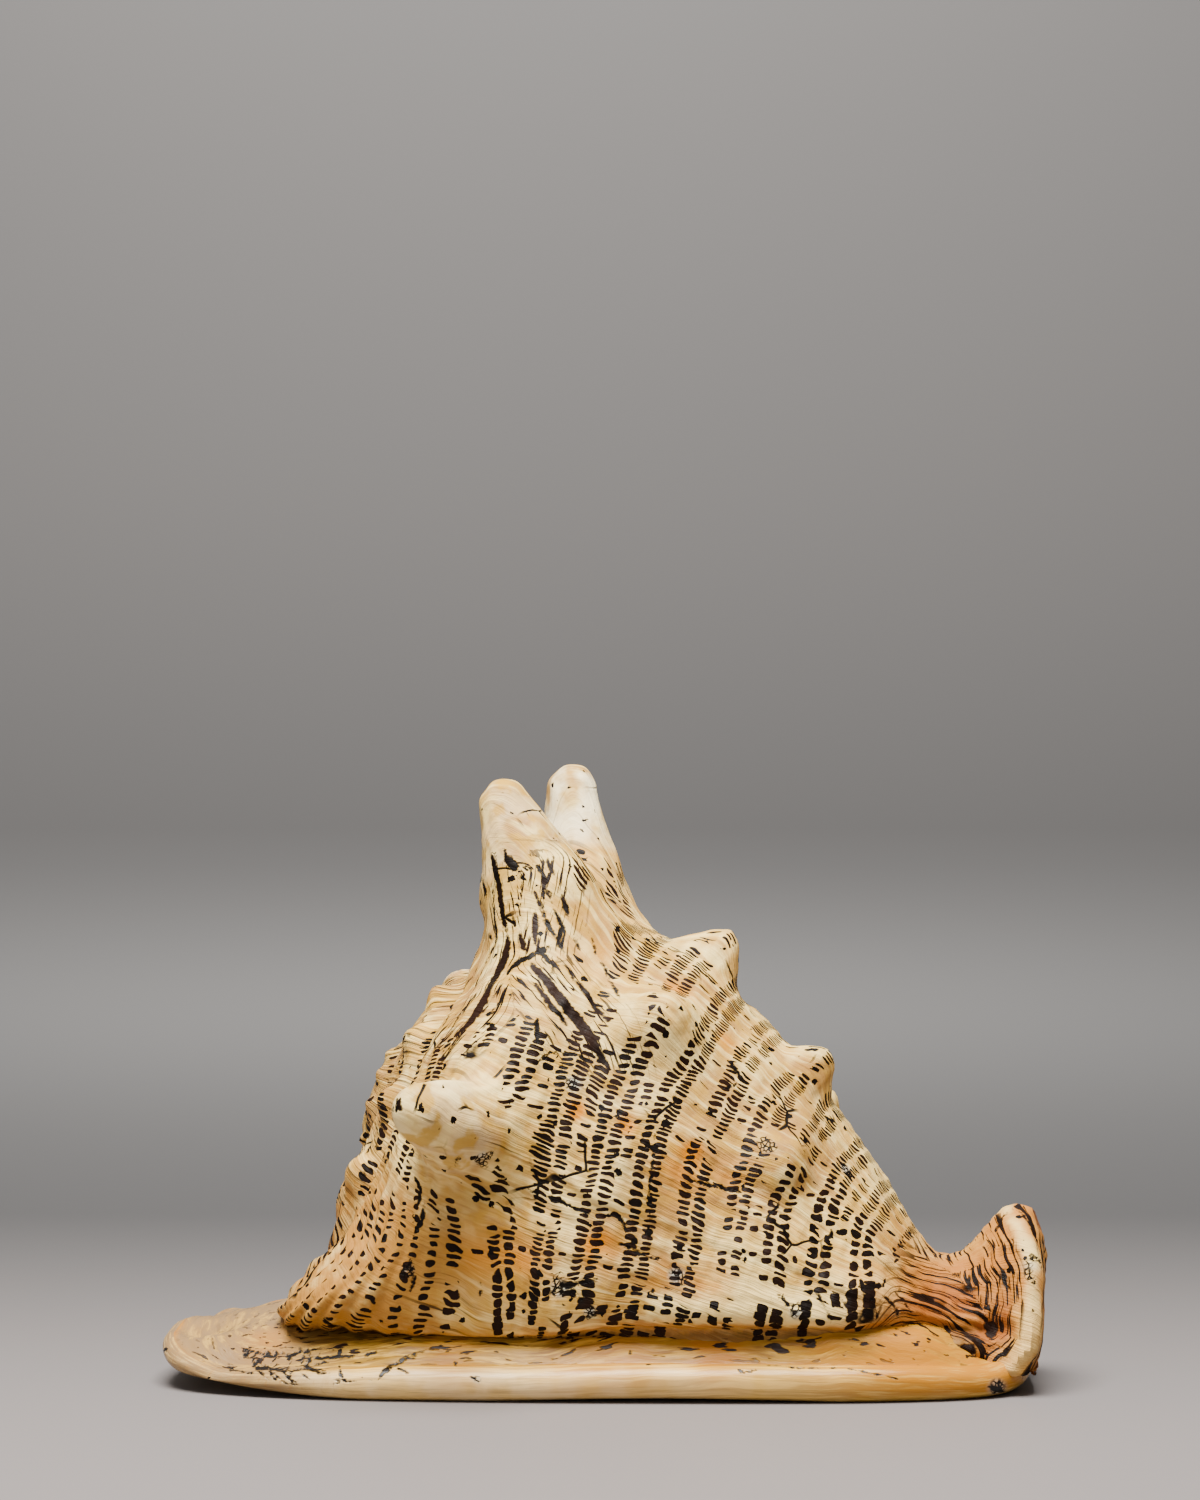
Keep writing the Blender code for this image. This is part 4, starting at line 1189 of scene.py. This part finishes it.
# Marks on the lip, in mm as seen from the front. Cracks and dark flecks: half width and points. Orange
# stains: place, radius and strength. Frost: place and radius
LIP_CRACKS = [
    (0.5, [(-107.5, 14), (-107, 15), (-106, 16.5)]),
    (0.7, [(-109, 13), (-106.5, 13), (-104.5, 11.5), (-103, 10), (-100, 10), (-95.5, 9), (-93.5, 6.5),
           (-91, 5.5)]),
    (0.6, [(-105, 16), (-106.5, 14), (-104.5, 11.5)]),
    (0.6, [(-101.5, 13.5), (-99.5, 13.5), (-96.5, 13.5)]),
    (0.6, [(-95, 13), (-92, 13)]),
    (0.5, [(-103.5, 15), (-101.5, 13.5)]),
    (0.5, [(-96.5, 9), (-94.5, 9), (-93, 12)]),
    (0.45, [(-100, 10), (-98.5, 7), (-96.5, 5.5)]),
    (0.6, [(-92, 12), (-90, 12), (-88.5, 10.5), (-84.5, 8.5), (-81, 8.5)]),
    (0.4, [(-90.5, 8.5), (-87, 6.5)]),
    (0.6, [(-78.5, 11.5), (-78, 8), (-77, 6), (-73, 6)]),
    (0.4, [(-77, 6), (-81, 5)]),
    (0.5, [(-48.5, 15.5), (-52.5, 15.5), (-57.5, 14), (-60.5, 12), (-63, 10.5), (-65, 9), (-67, 6.5),
           (-70, 6)]),
    (0.9, [(-62.5, 10.5), (-65, 9), (-66, 8)]),
    (0.5, [(-112, 12), (-111, 8.5)]),
    (0.4, [(-106, 8.5), (-104, 8.5)]),
    (0.6, [(-91, 14), (-87, 13), (-83, 13), (-78.5, 13.5), (-73.5, 13.5), (-69.5, 13.5)]),
    (0.5, [(-71.5, 13.5), (-68.5, 14.5), (-66.5, 14.5)]),
    (0.6, [(-57, 7.5), (-56, 7.5)]),
    (0.6, [(-44, 12), (-43, 10.5)]),
    (0.8, [(-39, 7.5), (-37, 6.5)]),
    (0.6, [(-132.5, 16), (-131.5, 15), (-130, 16)]),
    (0.7, [(8, 14.5), (10, 14.5)]),
    (0.4, [(41, 10), (43, 8.5), (47, 9.5)]),
    (0.25, [(74, 10), (81, 8.5), (90.5, 6.5)]),
    (1.0, [(116.5, 4.5), (119.5, 3.5), (121.5, 3)]),
    (0.25, [(50, 11), (60, 10), (72, 10)]),
    (0.45, [(-107.5, 15.5), (-105, 16), (-104, 14), (-104.5, 10.5), (-101.5, 8), (-99, 6)]),
    (0.5, [(-105, 16), (-99, 14), (-93.5, 13.5), (-89.5, 15), (-84.5, 14)]),
    (0.4, [(-104, 14), (-100, 9.5), (-95, 5.5), (-91, 5)]),
    (0.5, [(-99, 14), (-97.5, 10.5), (-93, 9), (-87, 10), (-82, 9)]),
    (0.35, [(-93, 9), (-93.5, 5.5)]),
    (0.35, [(-111.5, 9.5), (-108, 9), (-104, 8)]),
    (0.4, [(-78.5, 11.5), (-77.5, 6)]),
    (0.4, [(-80.5, 6.5), (-75, 6)]),
    (0.5, [(-66, 7.5), (-62, 10.5), (-59.5, 12), (-53, 15)]),
    (0.4, [(-62, 10.5), (-56.5, 8)]),
    (0.35, [(-101.5, 16.5), (-90.5, 16), (-81.5, 15.5), (-72, 16.5)]),
    (0.3, [(-90.5, 13), (-85, 11), (-81, 12)]),
    (0.5, [(-12, 19.5), (-7.5, 19)]),
    (0.5, [(-3, 19.5), (3.5, 19.5)]),
    (0.5, [(12, 20), (16.5, 20)]),
    (0.4, [(21.5, 20.5), (27, 20)]),
    (0.4, [(33.5, 20.5), (37.5, 20)]),
]
LIP_STAINS = [
    ((-6, 8.5), 12, 0.54),
    ((36, 15), 9, 0.9),
    ((10, 13.5), 10, 0.6),
    ((66.5, 15), 9, 0.48),
    ((92, 16.5), 9, 1.32),
    ((81.5, 5), 14, 0.6),
    ((108, 6), 14, 0.96),
    ((123, 7.5), 10, 0.72),
    ((-45, 12), 10, 0.6),
    ((-101, 20), 7, 0.72),
    ((91, 15.5), 5, 1.0),
    ((33, 16), 6, 0.7),
]
LIP_STARS = [
    ((119.5, 4), 3.5),
    ((-37, 6.5), 1.6),
]
# The mouth's slit, which the underside's teeth and folds follow
MOUTH_START = -74 * MM
MOUTH_END = 122 * MM
MOUTH_Y = -43 * MM
MOUTH_BOW = 4 * MM
MOUTH_HALF = 7.5 * MM
MOUTH_REACH = (MOUTH_END - MOUTH_START) / 2
MOUTH_MIDDLE = STANCE[:2] + [(MOUTH_START + MOUTH_END) / 2, MOUTH_Y]
TEETH = 13
EYE_AWAY = 1329 * MM
EYE_HEIGHT = 196 * MM
LIP_PLANE = 75 * MM


def from_front(p):
    """Where points lie when the shell is seen from the front: x and z on an upright plane at the lip."""
    scale = (EYE_AWAY - LIP_PLANE) / (EYE_AWAY + p[..., 1])
    return np.stack([p[..., 0] * scale, EYE_HEIGHT + (p[..., 2] - EYE_HEIGHT) * scale], -1)


def lip_maps(p, v, u):
    """The plate's UV maps: growth is the place over the section and round the outline, then marks."""
    x, y = p[..., 0], p[..., 1]
    lip_side = smooth((-y - 0.035) / 0.02)
    over = lip_side * smooth((1.02 - v) / 0.05)
    spire_end = smooth((-x - 0.05) / 0.05)
    seen = from_front(p)
    crack = np.where((y < -0.03) & (v < 1.8), path_gap(seen, LIP_CRACKS), 60.0)
    star = np.where((y < -0.03) & (v < 1.8), star_gap(seen, LIP_STARS), 3.0)
    stained = lip_side * smooth((1.8 - v) / 0.2) * spots(seen, LIP_STAINS)
    return {
        "growth": np.stack([v, u], -1),
        "paths": np.stack([crack, star], -1),
        "stains": np.stack([stained, np.clip(over + 0.6 * spire_end * smooth((0.95 - v) / 0.1), 0, 1)], -1),
    }


def lip_material():
    """Glossy callus, cream below and orange above, with lines along the rim and flecks near the whorl."""
    m = Maker("lip_callus")
    place = m.place()
    over, along = m.pair("growth")
    crack, star = m.pair("paths")
    stain, upper = m.pair("stains")
    cloud = m.noise(place, 26.0, 3.0)
    patch = m.noise(place, 80.0, 3.0)
    ragged = m.noise(place, 650.0, 2.0)
    wander = m.noise(place, 30.0, 2.0) - 0.5
    run = m.least(over, 1.0) * 42.0 + m.most(over, 1.0) * 15.0
    bent = wander * 5.0 + run
    lines = m.stretched(bent, along * 34.0, 0.0, 4.0, 0.6)
    x, y, _ = m.split(place)
    spire = m.ramp(x, -0.070, -0.105)
    fin_end = m.ramp(x, 0.035, 0.095)
    gold = fin_end * 0.1 + (m.ramp(over, 1.15, 0.98) * 0.07 + lines)
    pale = m.ramp(over, 0.98, 1.35) * m.ramp(x, 0.06, -0.02, 0.25, 1.0)
    grain = m.ramp(m.stretched(bent * 2.1, along * 70.0, 11.0, 2.0, 0.6), 0.47, 0.62)
    seam = m.ramp(abs(over + wander * 0.04 - 1.02), 0.006, 0.03, 1.0, 0.0)
    stitch = m.stretched(over * 4.0, along * 620.0, 7.0)
    crimps = m.ramp(stitch, 0.54, 0.62) * spire * m.ramp(over, 0.95, 1.1)
    soaked = stain * m.ramp(lines, 0.3, 0.65, 0.5, 1.2)
    ground = m.layers(
        LIP_CREAM,
        (m.ramp(gold, 0.46, 0.58), LIP_GOLD),
        (m.ramp(cloud, 0.44, 0.62) * 0.5, HONEY),
        (pale * m.ramp(patch, 0.65, 0.4, 0.45, 0.95), LIP_SHELL),
        (upper * m.ramp(lines, 0.4, 0.56, 0.35, 0.95), LIP_OCHRE),
        (grain * (upper * 0.5 + 0.12), LIP_BROWN),
        (spire * m.ramp(lines, 0.36, 0.56, 0.55, 0.95), LIP_DRAB),
        (seam * m.ramp(cloud, 0.4, 0.55, 0.3, 0.9), LIP_ORANGE),
        (crimps * 0.45, TAN),
        (m.line(soaked, 0.0, 1.0, 0.0, 0.9), LIP_ORANGE),
        (m.ramp(star, 0.3, 1.1, 1.0, 0.0) * 0.35, FROST),
    )

    # Brown flecks drawn out along the rim on the upper band, the cracks, the frost and a few specks
    flecks = m.ramp(m.stretched(bent * 1.3, along * 95.0, 5.0), 0.6, 0.64) * upper
    edge = m.roughly(crack + 0.12, ragged, 1.5)
    cracks = m.ramp(edge, -0.2, 0.25, 1.0, 0.0)
    net = m.web(place, 620.0)
    frost = m.ramp(net, 0.08, 0.2, 1.0, 0.0) * m.ramp(m.roughly(star, patch, 1.5), 0.4, 0.8, 1.0, 0.0)
    dot_gap, dot_luck, _ = m.dots(place, 150.0)
    reach = m.roughly(dot_gap, ragged, 0.5)
    specks = m.below(reach, 0.13) * m.above(dot_luck, 0.9)
    dark = m.most(cracks, frost, specks)

    # Underneath: teeth along the mouth's lip side, folds along its other side, both with brown between
    across_slit = (x - MOUTH_MIDDLE[0]) * (1 / MOUTH_REACH)
    middle = across_slit * across_slit * -MOUTH_BOW + MOUTH_MIDDLE[1]
    beyond = (y - middle) * 1000.0
    gap = abs(beyond) - MOUTH_HALF / MM
    lip_teeth = abs(m.cosine((across_slit + 1) * (TEETH / 2 * pi)))
    fold_turn = across_slit * (11.0 * pi) + (wander * 9.0 + gap * 0.06)
    folds = abs(m.cosine(fold_turn))
    lipward = m.ramp(beyond, 1.0, -1.0)
    raised = lip_teeth * lipward + folds * (1.0 - lipward)
    reach_in = (cloud * 6.0 + 6.0) * (1 - 0.35 * lipward)
    toothed = m.ramp(gap / reach_in, 0.4, 1.0, 1.0, 0.0) * m.ramp(over, 2.0, 2.05)
    toothed *= m.ramp(abs(across_slit), 1.0, 0.85)
    under = m.mix(m.ramp(cloud, 0.4, 0.62), LIP_SHELL, SHIELD_PEACH)
    under = m.mix(m.ramp(lines, 0.45, 0.6) * 0.35, under, LIP_GOLD)
    colour = m.layers(
        ground,
        (flecks, UMBER),
        (dark, INK),
        (m.ramp(over, 2.0, 2.15) * 0.75, under),
        (toothed * m.ramp(raised, 0.75, 0.4, 0.0, 0.9), LIP_ORANGE),
        (toothed * m.ramp(raised, 0.6, 0.95, 0.0, 0.8), WHITE),
    )
    m.put(m.shader.inputs["Base Color"], colour)
    m.put(m.shader.inputs["Roughness"], m.line(patch + upper, 0.4, 1.6, 0.2, 0.42))
    m.shader.inputs["Specular IOR Level"].default_value = 0.20
    height = lines * m.line(upper, 0.0, 1.0, 0.35, 1.0)
    height -= 0.5 * m.most(dark, flecks)
    height += toothed * raised * 3.0
    m.relief(height, 0.0005, 0.9)
    return m.material


LIP_CREAM = (0.86, 0.52, 0.1, 1)
LIP_GOLD = (0.45, 0.235, 0.018, 1)
LIP_SHELL = (0.92, 0.66, 0.32, 1)
LIP_ORANGE = (0.44, 0.165, 0.006, 1)
LIP_DRAB = (0.26, 0.16, 0.07, 1)
LIP_OCHRE = (0.37, 0.205, 0.022, 1)
LIP_BROWN = (0.15, 0.062, 0.008, 1)
SHIELD_PEACH = (0.78, 0.42, 0.17, 1)

across_top = 1 - (1 - np.linspace(0.06, 1, TOP_STEPS)) ** 1.7
round_roll = np.linspace(1, 2, ROLL_STEPS)[1:]
back_under = np.linspace(2, 2.9, UNDER_STEPS)[1:]
section = np.concatenate([across_top, round_roll, back_under])
outline = np.arange(RIM_STEPS) / RIM_STEPS
grid_v, grid_u = np.meshgrid(section, outline, indexing="ij")
lip_grid = lip_points(grid_u, grid_v)
lip_marks = lip_maps(lip_grid, grid_v, grid_u)
lip_poles = np.array([lip_grid[0].mean(0), lip_grid[-1].mean(0)])
lip_piece = closed_piece("lip_and_shield", lip_grid, lip_poles, lip_material(), lip_marks)
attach(lip_piece, "root")
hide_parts("shell")


# Mouth and canal: the toothed slit where the animal lived and its breathing canal, which leaves the
# slit's end and comes up inside the fin. Both are cut through the whorl and the plate.

MOUTH_DEPTH = 156 * MM
MOUTH_END_SHARPNESS = 8
TOOTH = 2.2 * MM
TOOTH_TOP = 3 * MM
# Its section, bottom to top: height in mm, share of the depth added, share of the width, teeth
MOUTH_LEVELS = [(-4, 0, 1.05, 1), (0.5, 0, 1.05, 1), (12, 0, 0.95, 0), (12, 0.5, 1.05, 0), (12, 1, 0.55, 0)]
MOUTH_STEPS = 240
CANAL_PATH = np.array([
    (96, -45, -4),
    (112, -44, 3),
    (126, -41, 13),
    (136, -38, 28),
    (142, -36, 48),
    (144, -35, 66),
]) * MM
CANAL_RADIUS = 8.5 * MM
CANAL_NARROW = 4.5 * MM
CANAL_STEPS = 40
CANAL_SIDES = 40


def mouth_material():
    """Smooth glossy inside of the mouth, pale at the slit and brown further in."""
    m = Maker("mouth_glaze")
    place = m.place()
    _, _, depth = m.split(place)
    cloud = m.noise(place, 60.0, 2.0) * 0.012 + depth
    m.put(m.shader.inputs["Base Color"], m.mix(m.ramp(cloud, 0.010, 0.040), LIP_SHELL, MOUTH_BROWN))
    m.shader.inputs["Roughness"].default_value = 0.22
    return m.material


def mouth_cutter(material):
    """A bowed slit with a toothed lip edge and the narrow hollow above it.

    Along t from 0 to 1 the hollow's height follows the square root of t times 1 - t, and the teeth
    follow the size of a cosine, broad with narrow gaps.
    """
    t = (np.arange(MOUTH_STEPS) + 0.5) / MOUTH_STEPS
    x = MOUTH_START + (MOUTH_END - MOUTH_START) * t
    ends = (1 - (2 * t - 1) ** MOUTH_END_SHARPNESS) ** 0.5
    middle = MOUTH_Y - MOUTH_BOW * (2 * t - 1) ** 2
    depth = TOOTH_TOP + MOUTH_DEPTH * t**0.5 * (1 - t)
    teeth = TOOTH * (2 * np.abs(np.cos(pi * TEETH * t)) ** 0.7 - 1)
    rings = []
    for side, levels in ((-1, MOUTH_LEVELS), (1, MOUTH_LEVELS[::-1])):
        for height, share, width, toothed in levels:
            across = middle + side * MOUTH_HALF * width * ends
            if side < 0:
                across = across + toothed * teeth * ends
            rings.append(np.column_stack([x, across, height * MM + share * depth]))
    grid = np.stack(rings, 1)
    poles = np.array([[MOUTH_START, MOUTH_Y - MOUTH_BOW, 4 * MM], [MOUTH_END, MOUTH_Y - MOUTH_BOW, 4 * MM]])
    return closed_piece("mouth_cutter", grid, poles, material, {})


def canal_cutter(material):
    """A flattened round section swept up the canal's path."""
    u = np.linspace(0, 1, CANAL_STEPS)
    knots = np.linspace(0, 1, len(CANAL_PATH))
    path = spline(knots, CANAL_PATH, u)
    tangent = np.gradient(path, axis=0)
    tangent /= np.linalg.norm(tangent, axis=1)[:, None]
    across = np.array([0.0, 1.0, 0.0])
    normal = np.cross(tangent, across)
    normal /= np.linalg.norm(normal, axis=1)[:, None]
    angle = 2 * pi * np.arange(CANAL_SIDES) / CANAL_SIDES
    wide = (CANAL_RADIUS * np.cos(angle))[None, :, None] * normal[:, None, :]
    narrow = (CANAL_NARROW * np.sin(angle))[None, :, None] * across
    grid = path[:, None, :] + wide + narrow
    return closed_piece("canal_cutter", grid, path[[0, -1]], material, {})


def cut(piece, cutters):
    """Cut the cutters out of a piece, keep the result as its mesh, and mark its sharp edges."""
    for cutter in cutters:
        boolean = piece.modifiers.new(cutter.name, "BOOLEAN")
        boolean.operation = "DIFFERENCE"
        boolean.solver = "EXACT"
        boolean.material_mode = "TRANSFER"
        boolean.object = cutter
    shape = piece.evaluated_get(bpy.context.evaluated_depsgraph_get())
    mesh = bpy.data.meshes.new_from_object(shape)
    piece.modifiers.clear()
    piece.data = mesh
    mesh.polygons.foreach_set("use_smooth", np.ones(len(mesh.polygons), bool))
    mesh.set_sharp_from_angle(angle=radians(45))


MOUTH_BROWN = (0.3, 0.11, 0.035, 1)
glaze = mouth_material()
cutters = [mouth_cutter(glaze), canal_cutter(glaze)]
for piece in (whorl_piece, lip_piece):
    cut(piece, cutters)
for cutter in cutters:
    bpy.data.objects.remove(cutter)


# Studio: a pale sweep of paper from the floor up behind the shell, soft light and the camera.

FLOOR_FRONT = -2.6
FLOOR_BACK = 0.42
BEND_RADIUS = 0.16
WALL_TOP = 2.6
PAPER_HALF = 2.4


def sweep_points():
    """Floor, a quarter circle up and the wall: y and z along the sweep."""
    angle = np.linspace(0, pi / 2, 16)
    bend = [FLOOR_BACK, 0] + BEND_RADIUS * np.column_stack([np.sin(angle), 1 - np.cos(angle)])
    return np.concatenate([[(FLOOR_FRONT, 0)], bend, [(FLOOR_BACK + BEND_RADIUS, WALL_TOP)]])


# The paper's colours are painted light and shade: lightest on the near floor, darkest at the bend and dark up
# the wall, standing in for how the lamps' light falls off
PAPER_NEAR_LIT = (0.185, 0.168, 0.166, 1)
PAPER_BEND_SHADE = (0.068, 0.068, 0.070, 1)
PAPER_WALL_SHADE = (0.084, 0.082, 0.083, 1)
profile = sweep_points()
grid = np.array([[(x, y, z) for x in (-PAPER_HALF, PAPER_HALF)] for y, z in profile])
faces = [(2 * i, 2 * i + 1, 2 * i + 3, 2 * i + 2) for i in range(len(profile) - 1)]
mesh = bpy.data.meshes.new("paper_sweep")
mesh.from_pydata(grid.reshape(-1, 3).tolist(), [], faces)
mesh.polygons.foreach_set("use_smooth", np.ones(len(mesh.polygons), bool))
paper = Maker("paper")
_, depth, height = paper.split(paper.place())
far_paper_shade = paper.mix(paper.ramp(height, 0.06, 0.34), PAPER_BEND_SHADE, PAPER_WALL_SHADE)
paper_lit_and_shaded = paper.mix(paper.ramp(depth, -0.22, 0.5), PAPER_NEAR_LIT, far_paper_shade)
paper.put(paper.shader.inputs["Base Color"], paper_lit_and_shaded)
paper.put(paper.shader.inputs["Alpha"], 1 - paper.value("ShaderNodeNewGeometry", {}, "Backfacing"))
paper.shader.inputs["Roughness"].default_value = 0.6
mesh.materials.append(paper.material)
sweep = bpy.data.objects.new("paper_sweep", mesh)
bpy.context.scene.collection.objects.link(sweep)

world = bpy.data.worlds.new("studio")
world.use_nodes = True
world.node_tree.nodes["Background"].inputs[0].default_value = (1.0, 0.98, 0.96, 1)
world.node_tree.nodes["Background"].inputs[1].default_value = 0.20
bpy.context.scene.world = world

camera = bpy.data.objects.new("camera", bpy.data.cameras.new("camera"))
camera.data.lens = 100
camera.data.sensor_width = 36
camera.location = np.array([0, -EYE_AWAY, EYE_HEIGHT]) + STANCE
camera.rotation_euler = (pi / 2, 0, 0)
bpy.context.scene.collection.objects.link(camera)
bpy.context.scene.camera = camera

for name, size, power, place in (("key", 0.8, 66, (-0.06, -0.32, 1.22)), ("fill", 1.2, 5, (-0.7, -1.4, 0.7))):
    light = bpy.data.lights.new(name, "AREA")
    light.size = size
    light.energy = power
    light.color = (1.0, 0.96, 0.91)
    lamp = bpy.data.objects.new(name, light)
    lamp.location = place
    toward = Vector((0, 0, 0.08)) - Vector(place)
    lamp.rotation_euler = toward.to_track_quat("-Z", "Y").to_euler()
    bpy.context.scene.collection.objects.link(lamp)
